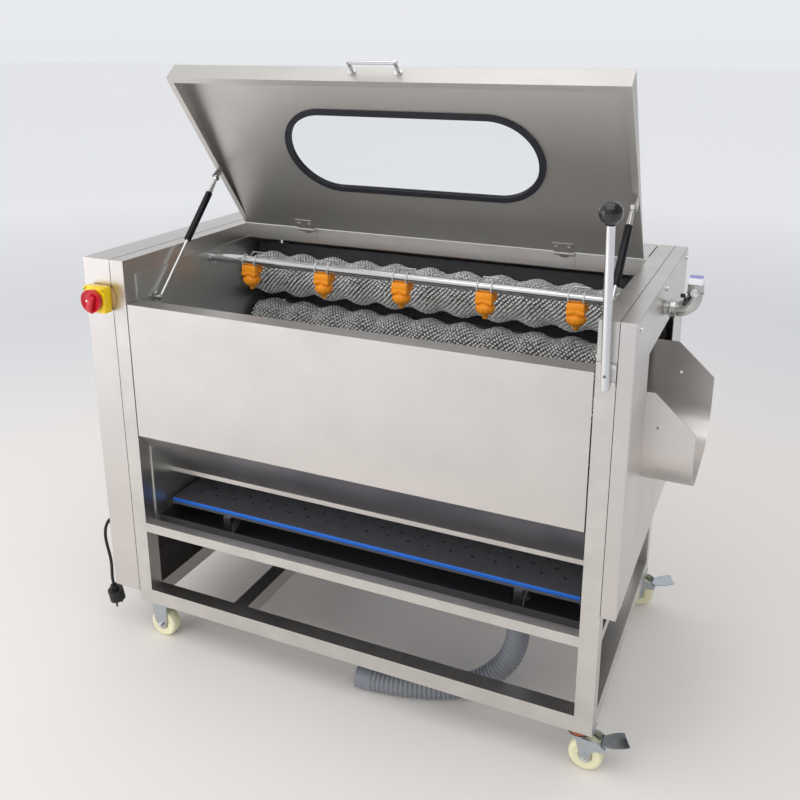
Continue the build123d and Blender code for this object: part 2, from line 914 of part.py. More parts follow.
# Flanged bearings of the rollers, on the outer face of both end walls
with BuildPart() as roller_bearings:
    for start_x, direction in ((-inner_x, -1), (inner_x, 1)):
        with BuildSketch(Plane.YZ.offset(start_x)):
            with Locations(*roller_places):
                Circle(bearing_radius)
            with Locations(*roller_places):
                Circle(shaft_radius + running_gap, mode=Mode.SUBTRACT)
        extrude(amount=direction * bearing_depth)
roller_bearings.part.label = "roller_bearings"


def chain_plane_x(index):
    """Place along X of a chain's plane inside the left cover."""
    return -half_length - chain_plane_first - index * chain_plane_step


def wave_radius(place_x):
    """Radius of the brush at a place along the roller: even waves between crest and trough."""
    middle = (crest_radius + trough_radius) / 2
    swing = (crest_radius - trough_radius) / 2
    return middle - swing * math.cos(2 * math.pi * (place_x + roller_half_length) / wave_pitch)


# Brush rollers: shaft, core, bristles and sprockets. The upper two show their strands
motor_roller = 2
brush_rollers = []
for index, (place_y, place_z) in enumerate(roller_places):
    with BuildPart() as brush_roller:
        shaft_start = chain_plane_x(2 if index == motor_roller else 1) - sprocket_width
        with BuildSketch(Plane.YZ.offset(shaft_start)):
            with Locations((place_y, place_z)):
                Circle(shaft_radius)
        extrude(amount=inner_x + bearing_depth - shaft_start)
        for plane_index in range(3 if index == motor_roller else 2):
            with BuildSketch(Plane.YZ.offset(chain_plane_x(plane_index) - sprocket_width / 2)):
                with Locations((place_y, place_z)):
                    Circle(sprocket_radius)
            extrude(amount=sprocket_width)
            with BuildSketch(Plane.YZ.offset(chain_plane_x(plane_index) - sprocket_width)):
                with Locations((place_y, place_z)):
                    Circle(sprocket_hub)
            extrude(amount=2 * sprocket_width)
        if index < 2:
            with BuildSketch(Plane.YZ.offset(-roller_half_length)):
                with Locations((place_y, place_z)):
                    Circle(core_radius)
            extrude(amount=2 * roller_half_length)
            strands = []
            row_count = round(2 * roller_half_length / strand_pitch)
            for row in range(row_count):
                strand_x = (row - (row_count - 1) / 2) * strand_pitch
                reach = wave_radius(strand_x) - core_radius + strand_root
                for step in range(strand_turns):
                    turn = 360 * (step + row / 2) / strand_turns
                    across = Plane(origin=(strand_x, place_y, place_z), z_dir=(1, 0, 0))
                    outward = Pos(core_radius - strand_root + reach / 2, 0, 0)
                    place = across.location * Rotation(0, 0, turn) * outward
                    strands.append(place * Box(reach, strand_side, strand_side, mode=Mode.PRIVATE))
            add(strands)
        else:
            wave_count = round(2 * roller_half_length / (wave_pitch / 2))
            with BuildSketch(Plane.XY):
                with BuildLine():
                    Polyline(
                        (-roller_half_length, 0),
                        *[
                            (
                                -roller_half_length + 2 * roller_half_length * step / wave_count,
                                wave_radius(-roller_half_length + wave_pitch * step / 2),
                            )
                            for step in range(wave_count + 1)
                        ],
                        (roller_half_length, 0),
                        close=True,
                    )
                make_face()
            brush = revolve(axis=Axis.X, mode=Mode.PRIVATE)
            add(brush.moved(Location((0, place_y, place_z))))
    brush_roller.part.label = f"brush_roller_{index + 1}"
    brush_rollers.append(brush_roller)

# Gear motor behind the left legs, on its plate
with BuildPart() as gear_motor:
    with Locations(
        (-inner_x + motor_plate / 2, motor_y, (floor_clearance + motor_height + gearbox_side / 2) / 2)
    ):
        Box(motor_plate, motor_plate_width, motor_height + gearbox_side / 2 - floor_clearance)
    with Locations((-inner_x + motor_plate + gearbox_length / 2, motor_y, motor_height)):
        Box(gearbox_length, gearbox_side, gearbox_side)
    with BuildSketch(Plane.YZ.offset(-inner_x + motor_plate + gearbox_length)):
        with Locations((motor_y, motor_height)):
            Circle(motor_radius)
    extrude(amount=motor_length)
    with Locations(
        (
            -inner_x + motor_plate + gearbox_length + motor_length / 2,
            motor_y + motor_radius,
            motor_height,
        )
    ):
        Box(2 * terminal_box, terminal_box, terminal_box)
    with BuildSketch(Plane.YZ.offset(-inner_x)):
        with Locations((motor_y, motor_height)):
            Circle(motor_shaft_radius + running_gap)
    extrude(amount=motor_bore_depth, mode=Mode.SUBTRACT)
gear_motor.part.label = "gear_motor"

with BuildPart() as motor_sprocket:
    sprocket_start = chain_plane_x(2) - sprocket_width
    with BuildSketch(Plane.YZ.offset(sprocket_start)):
        with Locations((motor_y, motor_height)):
            Circle(motor_shaft_radius)
    extrude(amount=motor_bore_depth - inner_x - sprocket_start - chain_gap)
    with BuildSketch(Plane.YZ.offset(chain_plane_x(2) - sprocket_width / 2)):
        with Locations((motor_y, motor_height)):
            Circle(sprocket_radius)
    extrude(amount=sprocket_width)
motor_sprocket.part.label = "motor_sprocket"

# Roller chains from roller to roller, and from the motor
chain_pairs = [(a, b, index % 2) for index, (a, b) in enumerate(zip(roller_places, roller_places[1:]))]
chain_pairs.append((roller_places[motor_roller], (motor_y, motor_height), 2))
with BuildPart() as drive_chains:
    for first, second, plane_index in chain_pairs:
        with BuildSketch(Plane.YZ.offset(chain_plane_x(plane_index) - chain_width / 2)) as loop:
            middle = ((first[0] + second[0]) / 2, (first[1] + second[1]) / 2)
            slope = math.degrees(math.atan2(second[1] - first[1], second[0] - first[0]))
            inner = sprocket_radius + chain_gap
            with Locations(Location(middle, slope)):
                SlotCenterToCenter(math.dist(first, second), 2 * (inner + chain_depth))
                SlotCenterToCenter(math.dist(first, second), 2 * inner, mode=Mode.SUBTRACT)
        extrude(amount=chain_width)
drive_chains.part.label = "drive_chains"

# Gate: a flap on a cross shaft closes the outlet
gate_x = inner_x + gate_gap
with BuildPart() as gate_flap:
    with BuildSketch(Plane.YZ.offset(gate_x)):
        with Locations((0, ring_height)):
            Circle(gate_radius)
        with Locations((0, (ring_height + gate_axis_height) / 2)):
            Rectangle(2 * gate_radius, gate_axis_height - ring_height)
    extrude(amount=gate_sheet)
    with BuildSketch(Plane.XZ.offset(-gate_bracket_y - gate_bracket)):
        with Locations((gate_axis_x, gate_axis_height)):
            Circle(gate_shaft_radius)
    extrude(amount=gate_bracket_y + gate_bracket - lever_y - lever_radius - knob_gap)
    for side_y in (-1, 1):
        tab_height = gate_axis_height - gate_shaft_radius / 2
        with Locations(((gate_x + gate_axis_x) / 2, side_y * gate_tab_y, tab_height)):
            Box(gate_axis_x - gate_x, gate_tab_width, gate_shaft_radius)
gate_flap.part.label = "gate_flap"

# Plate that the shaft turns in, on the front post
with BuildPart() as lever_plate:
    plate_width = tube - 2 * lever_plate_edge_gap
    with BuildSketch(Plane.XZ.offset(half_depth)):
        with Locations((post_x, (lever_plate_low + lever_plate_high) / 2)):
            Rectangle(plate_width, lever_plate_high - lever_plate_low)
        with Locations((gate_axis_x, gate_axis_height)):
            Circle(gate_shaft_radius + running_gap, mode=Mode.SUBTRACT)
    extrude(amount=lever_plate_depth)
lever_plate.part.label = "lever_plate"

lever_foot_point = Vector(gate_axis_x, lever_y, gate_axis_height)
lever_top_point = Vector(gate_axis_x - lever_lean_x, lever_y - lever_lean_y, ball_height)
lever_line = (lever_top_point - lever_foot_point).normalized()
lever_span = (lever_top_point - lever_foot_point).length
with BuildPart() as gate_lever:
    with BuildSketch(Plane(origin=lever_foot_point - lever_line * lever_foot, z_dir=lever_line)):
        Circle(lever_radius)
    extrude(amount=lever_foot + lever_span - ball_radius)
    with Locations(
        Plane(origin=(gate_axis_x, lever_y, gate_axis_height + lever_pin_rise), z_dir=(0, 1, 0))
    ):
        Cylinder(lever_pin_radius, 2 * lever_radius + overrun, mode=Mode.SUBTRACT)
gate_lever.part.label = "gate_lever"

with BuildPart() as lever_knob:
    with Locations(lever_top_point):
        Sphere(ball_radius)
    ball_seat = lever_top_point - lever_line * ball_radius
    with BuildSketch(Plane(origin=ball_seat, z_dir=lever_line)):
        Circle(lever_radius)
    extrude(amount=ball_radius)
lever_knob.part.label = "lever_knob"

# Hinges of the lid: leaf and middle knuckle on the rear rail, with the pin
hinge_places = (hinge_x_left, hinge_x_right)
leaf_face_y = rear_rail_y - tube / 2
with BuildPart() as lid_hinges:
    for hinge_x in hinge_places:
        with Locations((hinge_x, leaf_face_y - hinge_leaf / 2, rim_height - tube + hinge_leaf_drop / 2)):
            Box(2 * hinge_half_width, hinge_leaf, hinge_leaf_drop)
        with BuildSketch(Plane.YZ.offset(hinge_x - hinge_mid_half)):
            with Locations((hinge_y, rim_height)):
                Circle(hinge_radius)
            with BuildLine():
                Polyline(
                    (hinge_y, rim_height),
                    (leaf_face_y, rim_height),
                    (leaf_face_y, rim_height - 2 * hinge_radius),
                    (leaf_face_y - hinge_leaf, rim_height - 2 * hinge_radius),
                    (hinge_y, rim_height - hinge_radius),
                    close=True,
                )
            make_face()
        extrude(amount=2 * hinge_mid_half)
        with BuildSketch(Plane.YZ.offset(hinge_x - hinge_half_width)):
            with Locations((hinge_y, rim_height)):
                Circle(hinge_pin_radius)
        extrude(amount=2 * hinge_half_width)
lid_hinges.part.label = "lid_hinges"

# Lid sheet with its flanges, lips, hinge knuckles and strut tabs
flange_line = [
    (lid_start, 0),
    (lid_length, 0),
    (flange_foot, flange_depth),
    (flange_foot - lip_width, flange_depth - sheet),
]
lip_slope = flange_depth / (flange_foot - lid_start)


def side_plane_at(place_x):
    """Plane across the lid at a place along it: x runs down the sheet, y out of it."""
    return Plane(origin=lid_plane.origin + Vector(place_x, 0, 0), x_dir=lid_plane.y_dir, z_dir=(1, 0, 0))


with BuildPart() as lid_shell:
    extrude(folded_sheet(side_plane_at(-lid_half_width), flange_line, sheet), amount=2 * lid_half_width)
    for side in (-1, 1):
        edge_x = side * lid_half_width
        with BuildSketch(side_plane_at(edge_x)):
            with BuildLine():
                Polyline((lid_start, 0), (lid_length, 0), (flange_foot, flange_depth), close=True)
            make_face()
        extrude(amount=-side * sheet)
        with BuildSketch(side_plane_at(edge_x)):
            with BuildLine():
                Polyline(
                    (lid_start + lip_width, lip_slope * lip_width - sheet),
                    (lid_start + lip_width, lip_slope * lip_width),
                    (flange_foot, flange_depth),
                    (flange_foot, flange_depth - sheet),
                    close=True,
                )
            make_face()
        extrude(amount=-side * lip_width)
        tab_face = side_plane_at(edge_x - side * sheet)
        with BuildSketch(tab_face):
            with Locations((strut_head_s, (strut_head_n + lip_slope * strut_head_s) / 2)):
                Rectangle(strut_tab_width, strut_head_n - lip_slope * strut_head_s + strut_eye_radius)
        extrude(amount=-side * strut_plate)
        stud_length = lid_half_width - sheet - strut_x - strut_eye_width / 2 - strut_stud_gap
        with BuildSketch(tab_face):
            with Locations((strut_head_s, strut_head_n)):
                Circle(strut_pin_radius)
        extrude(amount=-side * stud_length)
    for hinge_x in hinge_places:
        for side in (-1, 1):
            knuckle_x = hinge_x + side * (hinge_mid_half + hinge_step)
            with BuildSketch(side_plane_at(knuckle_x)):
                Circle(hinge_radius)
                with Locations(((lid_start + hinge_radius) / 2, hinge_leaf / 2)):
                    Rectangle(lid_start + hinge_radius, hinge_leaf)
                Circle(hinge_pin_radius + running_gap, mode=Mode.SUBTRACT)
            extrude(amount=side * (hinge_half_width - hinge_mid_half - hinge_step))
        with BuildSketch(lid_plane.offset(sheet)):
            with Locations((hinge_x, lid_start + hinge_leaf_length / 2)):
                Rectangle(2 * hinge_half_width, hinge_leaf_length)
        extrude(amount=hinge_leaf)
        with BuildSketch(lid_plane.offset(sheet + hinge_leaf)):
            with Locations(*[(hinge_x + side * hinge_screw_x, hinge_screw_s) for side in (-1, 1)]):
                Circle(hinge_screw_radius)
        extrude(amount=hinge_screw_height)
    hole_inset = 2 * gasket_grip
    extrude(
        stadium(lid_plane.offset(-overrun), window_length - hole_inset, window_height - hole_inset),
        amount=sheet + 2 * overrun,
        mode=Mode.SUBTRACT,
    )
lid_shell.part.label = "lid_shell"

# Clear pane, and the rubber that grips both it and the sheet
pane_inset = 2 * (gasket_width - pane_grip)
pane_plane = lid_plane.offset(sheet / 2 - pane_thick / 2)
with BuildPart() as lid_window:
    extrude(
        stadium(pane_plane, window_length - pane_inset, window_height - pane_inset),
        amount=pane_thick,
    )
lid_window.part.label = "lid_window"

with BuildPart() as window_gasket:
    extrude(stadium(lid_plane.offset(-gasket_proud), window_length, window_height), amount=gasket_proud)
    extrude(stadium(lid_plane, window_length - hole_inset, window_height - hole_inset), amount=sheet)
    extrude(stadium(lid_plane.offset(sheet), window_length, window_height), amount=gasket_proud)
    extrude(
        stadium(
            lid_plane.offset(-gasket_proud - overrun),
            window_length - 2 * gasket_width,
            window_height - 2 * gasket_width,
        ),
        amount=sheet + 2 * gasket_proud + 2 * overrun,
        mode=Mode.SUBTRACT,
    )
    extrude(
        stadium(pane_plane, window_length - pane_inset, window_height - pane_inset),
        amount=pane_thick,
        mode=Mode.SUBTRACT,
    )
window_gasket.part.label = "window_gasket"

# Bow handle on the lid's front flange
flange_run = Vector(0, flange_foot - lid_length, flange_depth).normalized()
grip_local = Vector(handle_x, lid_length, 0) + flange_run * handle_from_edge
grip_point = lid_plane.from_local_coords(grip_local)
flange_out = (
    lid_plane.from_local_coords(grip_local + Vector(0, flange_run.Z, -flange_run.Y)) - grip_point
)
handle_plane = Plane(origin=grip_point, x_dir=(1, 0, 0), z_dir=flange_out)
with BuildPart() as lid_handle:
    for side in (-1, 1):
        with BuildSketch(handle_plane):
            with Locations((side * handle_half_span, 0)):
                Circle(handle_nut_radius)
        extrude(amount=handle_nut_height)
        with BuildSketch(handle_plane):
            with Locations((side * handle_half_span, 0)):
                Circle(handle_radius)
        extrude(amount=handle_reach)
    bar_start = handle_plane.from_local_coords(
        Vector(-handle_half_span - handle_radius, 0, handle_reach - handle_radius)
    )
    with BuildSketch(Plane(origin=bar_start, z_dir=(1, 0, 0))):
        Circle(handle_radius)
    extrude(amount=2 * (handle_half_span + handle_radius))
lid_handle.part.label = "lid_handle"

# Gas struts: foot brackets on the end walls, rods, and barrels that slide over the rods
with BuildPart() as strut_brackets:
    for side in (-1, 1):
        face_x = side * wall_inner_x
        with BuildSketch(Plane.YZ.offset(face_x)):
            with Locations((strut_foot_y, strut_foot_height)):
                Rectangle(strut_plate_width, strut_plate_height)
        extrude(amount=-side * strut_plate)
        pin_length = wall_inner_x - strut_x + strut_eye_width / 2 + strut_stud_gap
        with BuildSketch(Plane.YZ.offset(face_x)):
            with Locations((strut_foot_y, strut_foot_height)):
                Circle(strut_pin_radius)
        extrude(amount=-side * pin_length)
        with BuildSketch(Plane.YZ.offset(face_x - side * pin_length)):
            with Locations((strut_foot_y, strut_foot_height)):
                Circle(strut_pin_head)
        extrude(amount=-side * strut_pin_head_width)
strut_brackets.part.label = "strut_brackets"

strut_pieces = []
for side, name in ((-1, "left"), (1, "right")):
    shift = Vector(side * strut_x, 0, 0)
    with BuildPart() as strut_rod:
        with BuildSketch(Plane(origin=strut_foot + shift, x_dir=(1, 0, 0), z_dir=strut_line)):
            Circle(strut_rod_radius)
        extrude(amount=strut_rod_shown + strut_rod_hidden)
        with BuildSketch(Plane.YZ.offset(side * strut_x - strut_eye_width / 2)):
            with Locations((strut_foot_y, strut_foot_height)):
                Circle(strut_eye_radius)
        extrude(amount=strut_eye_width)
        with BuildSketch(Plane.YZ.offset(side * strut_x - strut_eye_width / 2)):
            with Locations((strut_foot_y, strut_foot_height)):
                Circle(strut_pin_radius + running_gap)
        extrude(amount=strut_eye_width, mode=Mode.SUBTRACT)
    strut_rod.part.label = f"strut_rod_{name}"
    with BuildPart() as strut_barrel:
        barrel_length = strut_length - strut_rod_shown - strut_barrel_neck
        barrel_start = strut_foot + shift + strut_line * strut_rod_shown
        with BuildSketch(Plane(origin=barrel_start, x_dir=(1, 0, 0), z_dir=strut_line)):
            Circle(strut_barrel_radius)
        extrude(amount=barrel_length)
        with BuildSketch(Plane(origin=barrel_start, x_dir=(1, 0, 0), z_dir=strut_line)):
            Circle(strut_rod_radius)
        extrude(amount=barrel_length + strut_barrel_neck)
        with BuildSketch(Plane.YZ.offset(side * strut_x - strut_eye_width / 2)):
            with Locations((strut_head.Y, strut_head.Z)):
                Circle(strut_eye_radius)
        extrude(amount=strut_eye_width)
        bore_start = barrel_start - strut_line * overrun
        with BuildSketch(Plane(origin=bore_start, x_dir=(1, 0, 0), z_dir=strut_line)):
            Circle(strut_rod_radius + running_gap)
        extrude(amount=strut_barrel_bore + overrun, mode=Mode.SUBTRACT)
    strut_barrel.part.label = f"strut_barrel_{name}"
    strut_pieces += [strut_rod, strut_barrel]

# Main switch: round backing ring, square body and turning knob
with BuildPart() as switch_base:
    with BuildSketch(Plane.XZ.offset(half_depth)):
        with Locations((switch_x, switch_height)):
            Circle(switch_ring_radius)
    extrude(amount=switch_ring_depth)
    with BuildSketch(Plane.XZ.offset(half_depth + switch_ring_depth)):
        with Locations((switch_x, switch_height)):
            RectangleRounded(switch_side, switch_side, switch_edge)
    extrude(amount=switch_depth)
    with BuildSketch(Plane.XZ.offset(half_depth + switch_ring_depth + switch_depth + overrun)):
        with Locations((switch_x, switch_height)):
            Circle(switch_bore_radius + running_gap)
    extrude(amount=-switch_bore_depth - overrun, mode=Mode.SUBTRACT)
switch_base.part.label = "switch_base"

switch_face_y = half_depth + switch_ring_depth + switch_depth + knob_gap
with BuildPart() as switch_knob:
    with BuildSketch(Plane.XZ.offset(switch_face_y)):
        with Locations((switch_x, switch_height)):
            Circle(switch_knob_radius)
    extrude(amount=switch_knob_depth)
    with BuildSketch(Plane.XZ.offset(switch_face_y)):
        with Locations((switch_x, switch_height - switch_grip_tail)):
            Rectangle(switch_grip_width, 2 * switch_knob_radius)
    extrude(amount=switch_knob_depth + switch_grip_reach)
    with BuildSketch(Plane.XZ.offset(switch_face_y)):
        with Locations((switch_x, switch_height)):
            Circle(switch_bore_radius)
    extrude(amount=-switch_bore_depth + knob_gap)
switch_knob.part.label = "switch_knob"

# Tray: perforated sheet with turned-down edges
tray_length = tray_high_x - tray_low_x
tray_middle_x = (tray_high_x + tray_low_x) / 2
hole_columns = round(tray_length / tray_hole_pitch) - 1
hole_rows = round(tray_half_depth / tray_row_pitch) - 1
with BuildPart() as sieve_tray:
    with Locations((tray_middle_x, 0, tray_top - tray_flange / 2)):
        Box(tray_length, 2 * tray_half_depth, tray_flange)
    offset(amount=-sheet, openings=sieve_tray.faces().sort_by(Axis.Z)[0])
    with BuildSketch(Plane.XY.offset(tray_top - sheet - overrun)):
        with Locations((tray_middle_x, -tray_row_pitch / 2)):
            with GridLocations(tray_hole_pitch, 2 * tray_row_pitch, hole_columns, hole_rows):
                Circle(tray_hole_radius)
        with Locations((tray_middle_x, tray_row_pitch / 2)):
            with GridLocations(tray_hole_pitch, 2 * tray_row_pitch, hole_columns - 1, hole_rows):
                Circle(tray_hole_radius)
    extrude(amount=sheet + 2 * overrun, mode=Mode.SUBTRACT)
sieve_tray.part.label = "sieve_tray"

# Ribbed drain hose, from the spigot down to the floor and along it
hose_path, hose_radii = rounded_route(hose_route, hose_fillet_share)
print("drain hose radii", [round(radius) for radius in hose_radii], "length", round(hose_path.length))
rib_start = 2 * hose_radius
rib_end = hose_path.length - hose_cuff - hose_radius
rib_count = int((rib_end - rib_start) / rib_pitch)
hose_stations = [(0, hose_radius)]
for rib in range(rib_count):
    foot = rib_start + rib * rib_pitch
    hose_stations += [
        (foot, hose_radius - rib_depth),
        (foot + rib_pitch * rib_flank_share, hose_radius),
        (foot + rib_pitch * (rib_flank_share + rib_crest_share), hose_radius),
        (foot + rib_pitch * (2 * rib_flank_share + rib_crest_share), hose_radius - rib_depth),
    ]
cuff_start = hose_path.length - hose_cuff
hose_stations += [
    (cuff_start, hose_radius - rib_depth),
    (cuff_start + rib_depth, hose_radius),
    (hose_path.length, hose_radius),
]
with BuildPart() as drain_hose:
    for distance, radius in hose_stations:
        place = hose_path.position_at(distance, position_mode=PositionMode.LENGTH)
        heading = hose_path.tangent_at(distance, position_mode=PositionMode.LENGTH)
        with BuildSketch(Plane(origin=place, x_dir=(0, 1, 0), z_dir=heading)):
            Circle(radius)
    loft(ruled=True)
    with BuildSketch(Plane(origin=hose_path @ 0, x_dir=(0, 1, 0), z_dir=hose_path % 0)):
        Circle(hose_bore)
    sweep(path=hose_path, mode=Mode.SUBTRACT)
drain_hose.part.label = "drain_hose"

# Supply cable beside the left cover, with its gland and plug
with BuildPart() as cable_gland:
    with BuildSketch(Plane.YZ.offset(left_cover_x)):
        with Locations((gland_y, gland_z)):
            Circle(gland_radius)
    extrude(amount=-gland_height)
cable_gland.part.label = "cable_gland"

cable_path, cable_radii = rounded_route(cable_route, hose_fillet_share)
print("supply cable radii", [round(radius) for radius in cable_radii], "length", round(cable_path.length))
with BuildPart() as supply_cable:
    with BuildSketch(Plane(origin=cable_path @ 0, z_dir=cable_path % 0)):
        Circle(cable_radius)
    sweep(path=cable_path)
supply_cable.part.label = "supply_cable"
print("supply cable volume", round(supply_cable.part.volume),
      "of", round(math.pi * cable_radius**2 * cable_path.length))

plug_line = cable_path % 1
plug_start = (cable_path @ 1) + plug_line * plug_neck
with BuildPart() as plug:
    with BuildSketch(Plane(origin=cable_path @ 1, z_dir=plug_line)):
        Circle(plug_radius / 2)
    extrude(amount=plug_neck)
    with BuildSketch(Plane(origin=plug_start, z_dir=plug_line)):
        Circle(plug_radius)
    extrude(amount=plug_length)
    with BuildSketch(Plane(origin=plug_start + plug_line * plug_length, z_dir=plug_line)):
        with Locations((-plug_pin_spread, 0), (plug_pin_spread, 0)):
            Circle(plug_pin_radius)
    extrude(amount=plug_pin_length)
plug.part.label = "plug"


# Castors: two fixed ones at the drive end, two swivelling ones at the outlet end
def fork_sheets(wheel_x, wheel_y, crown_top):
    """Two cheeks of a fork joined by its crown, with the axle through them."""
    cheek_y = wheel_width / 2 + fork_gap + fork_sheet / 2
    cheek_height = crown_top - wheel_radius + fork_width / 2
    cheek_middle = crown_top - cheek_height / 2
    with Locations(*[(wheel_x, wheel_y + side * cheek_y, cheek_middle) for side in (-1, 1)]):
        Box(fork_width, fork_sheet, cheek_height)
    with Locations((wheel_x, wheel_y, crown_top - fork_crown / 2)):
        Box(fork_width, 2 * cheek_y + fork_sheet, fork_crown)
    with Locations(Plane(origin=(wheel_x, wheel_y, wheel_radius), z_dir=(0, 1, 0))):
        Cylinder(axle_radius, 2 * cheek_y + fork_sheet + 2 * axle_overhang)


plate_under = floor_clearance - castor_plate
with BuildPart() as castor_plates:
    for side_y in (-1, 1):
        with Locations((rigid_x, side_y * rigid_y, floor_clearance - castor_plate / 2)):
            Box(castor_plate_length, castor_plate_width, castor_plate)
        fork_sheets(rigid_x, side_y * rigid_y, plate_under)
        with Locations((swivel_x, side_y * swivel_y, floor_clearance - castor_plate / 2)):
            Box(castor_plate_length - 2 * castor_plate, castor_plate_width, castor_plate)
        with BuildSketch(Plane.XY.offset(plate_under)):
            with Locations((swivel_x, side_y * swivel_y)):
                Circle(swivel_pin_radius)
        extrude(amount=-swivel_ring_height)
castor_plates.part.label = "castor_plates"

swivel_forks = []
swivel_pedals = []
crown_height = plate_under - swivel_gap - swivel_ring_height
for side_y, name in ((-1, "front"), (1, "rear")):
    fork_x = swivel_x + swivel_trail
    fork_y = side_y * swivel_y
    with BuildPart() as swivel_fork:
        fork_sheets(fork_x, fork_y, crown_height)
        with BuildSketch(Plane.XY.offset(crown_height - fork_crown)):
            with Locations((swivel_x, fork_y)):
                Circle(swivel_ring_radius)
        extrude(amount=fork_crown + swivel_ring_height)
        with BuildSketch(Plane.XY.offset(crown_height)):
            with Locations((swivel_x, fork_y)):
                Circle(swivel_pin_radius + running_gap)
        extrude(amount=swivel_ring_height, mode=Mode.SUBTRACT)
        arm_length = pedal_from_axle + 2 * pedal_pin_radius - fork_width / 2
        cheek_y = wheel_width / 2 + fork_gap + fork_sheet / 2
        with Locations(
            *[
                (fork_x + fork_width / 2 + arm_length / 2, fork_y + side * cheek_y, pedal_rise)
                for side in (-1, 1)
            ]
        ):
            Box(arm_length, fork_sheet, 4 * pedal_pin_radius)
        with Locations(Plane(origin=(fork_x + pedal_from_axle, fork_y, pedal_rise), z_dir=(0, 1, 0))):
            Cylinder(pedal_pin_radius, 2 * cheek_y)
    swivel_fork.part.label = f"swivel_fork_{name}"
    swivel_forks.append(swivel_fork)
    with BuildPart() as brake_pedal:
        pin_x = fork_x + pedal_from_axle
        eye_radius = pedal_pin_radius + pedal_sheet
        with BuildSketch(Plane.XZ.offset(-fork_y - pedal_width / 2)):
            with Locations((pin_x, pedal_rise)):
                Circle(eye_radius)
            with BuildLine():
                Polyline(
                    (pin_x, pedal_rise + eye_radius),
                    (pin_x, pedal_rise + eye_radius - pedal_sheet),
                    (pin_x + pedal_reach, pedal_rise + pedal_lift),
                    (pin_x + pedal_reach, pedal_rise + pedal_lift + pedal_sheet),
                    close=True,
                )
            make_face()
            with Locations((pin_x, pedal_rise)):
                Circle(pedal_pin_radius + running_gap, mode=Mode.SUBTRACT)
        extrude(amount=pedal_width)
    brake_pedal.part.label = f"brake_pedal_{name}"
    swivel_pedals.append(brake_pedal)

wheel_places = [
    ("front_left", rigid_x, -rigid_y),
    ("rear_left", rigid_x, rigid_y),
    ("front_right", swivel_x + swivel_trail, -swivel_y),
    ("rear_right", swivel_x + swivel_trail, swivel_y),
]
wheels = []
for name, wheel_x, wheel_y in wheel_places:
    with BuildPart() as wheel:
        with Locations(Plane(origin=(wheel_x, wheel_y, wheel_radius), z_dir=(0, 1, 0))):
            Cylinder(wheel_radius, wheel_width)
        fillet(wheel.edges().filter_by(GeomType.CIRCLE), wheel_edge)
        with Locations(Plane(origin=(wheel_x, wheel_y, wheel_radius), z_dir=(0, 1, 0))):
            Cylinder(wheel_hub_radius, wheel_width + fork_gap)
            Cylinder(axle_radius + running_gap, wheel_width + 2 * fork_gap, mode=Mode.SUBTRACT)
    wheel.part.label = f"wheel_{name}"
    wheels.append(wheel)

# Every piece is written with the origin under the machine's middle
pieces = [
    frame_tubes, left_end_wall, right_end_wall, front_panel, rear_panel, left_cover, right_cover,
    cover_bolts, discharge_chute, drain_pan, tray_supports, spray_pipe, nozzle_bodies, inlet_valve,
    valve_knob, roller_bearings, gear_motor, motor_sprocket, drive_chains, gate_flap, lever_plate,
    gate_lever, lever_knob, lid_hinges, lid_shell, lid_window, window_gasket, lid_handle,
    strut_brackets, switch_base, switch_knob, sieve_tray, drain_hose, cable_gland, supply_cable,
    plug, castor_plates,
]
pieces += nozzle_tips + brush_rollers + strut_pieces + swivel_forks + swivel_pedals + wheels
for piece in pieces:
    export_step(piece.part.moved(to_origin), f"parts/{piece.part.label}.step")
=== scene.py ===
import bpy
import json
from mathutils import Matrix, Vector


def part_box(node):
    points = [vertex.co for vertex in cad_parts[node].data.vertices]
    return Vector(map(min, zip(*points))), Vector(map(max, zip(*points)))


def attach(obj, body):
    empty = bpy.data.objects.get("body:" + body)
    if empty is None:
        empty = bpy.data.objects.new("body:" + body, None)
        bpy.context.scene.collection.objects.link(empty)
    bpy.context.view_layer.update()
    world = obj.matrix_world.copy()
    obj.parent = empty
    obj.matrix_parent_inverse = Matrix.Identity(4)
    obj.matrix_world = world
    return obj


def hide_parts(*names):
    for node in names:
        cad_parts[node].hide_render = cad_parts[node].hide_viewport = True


bl_info = {
    "name": "Roller vegetable washer",
    "version": (1, 0, 0),
    "blender": (4, 5, 0),
    "location": "View3D > Sidebar > Washer",
    "description": "Brushes, hose, castors, fittings and finishes of a roller vegetable washer",
    "category": "Object",
}

import json
import math

import bpy
import numpy as np
from mathutils import Vector

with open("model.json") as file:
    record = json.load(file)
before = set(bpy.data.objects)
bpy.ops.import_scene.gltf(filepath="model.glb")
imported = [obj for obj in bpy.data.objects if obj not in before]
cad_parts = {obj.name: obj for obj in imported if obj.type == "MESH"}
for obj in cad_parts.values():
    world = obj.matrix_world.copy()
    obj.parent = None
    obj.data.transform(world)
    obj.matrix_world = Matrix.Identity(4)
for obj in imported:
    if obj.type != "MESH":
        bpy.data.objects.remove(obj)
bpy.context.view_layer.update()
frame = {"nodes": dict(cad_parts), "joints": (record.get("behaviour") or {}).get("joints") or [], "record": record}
nodes = frame["nodes"]

MM = 0.001
FULL_TURN = 2 * math.pi
ALONG, BACKWARD, FORWARD, UP = (1, 0, 0), (0, 1, 0), (0, -1, 0), (0, 0, 1)

# The machine's drawing, in mm, counts X from the frame's middle, Y from its mid depth and Z from the floor
DRAWING_SHIFT = np.array((-25.0, 25.65, 0.0))
COVER_X = 600
HALF_DEPTH = 350
RIM = 1023
TROUGH_HEIGHT = 880
PIPE_HEIGHT = 960
PIPE_RADIUS = 12.5
NOZZLE_PITCH = 219
STEM_HEIGHT = 1003
ROLLER_HALF = 540
SPROCKET_PITCH = 22

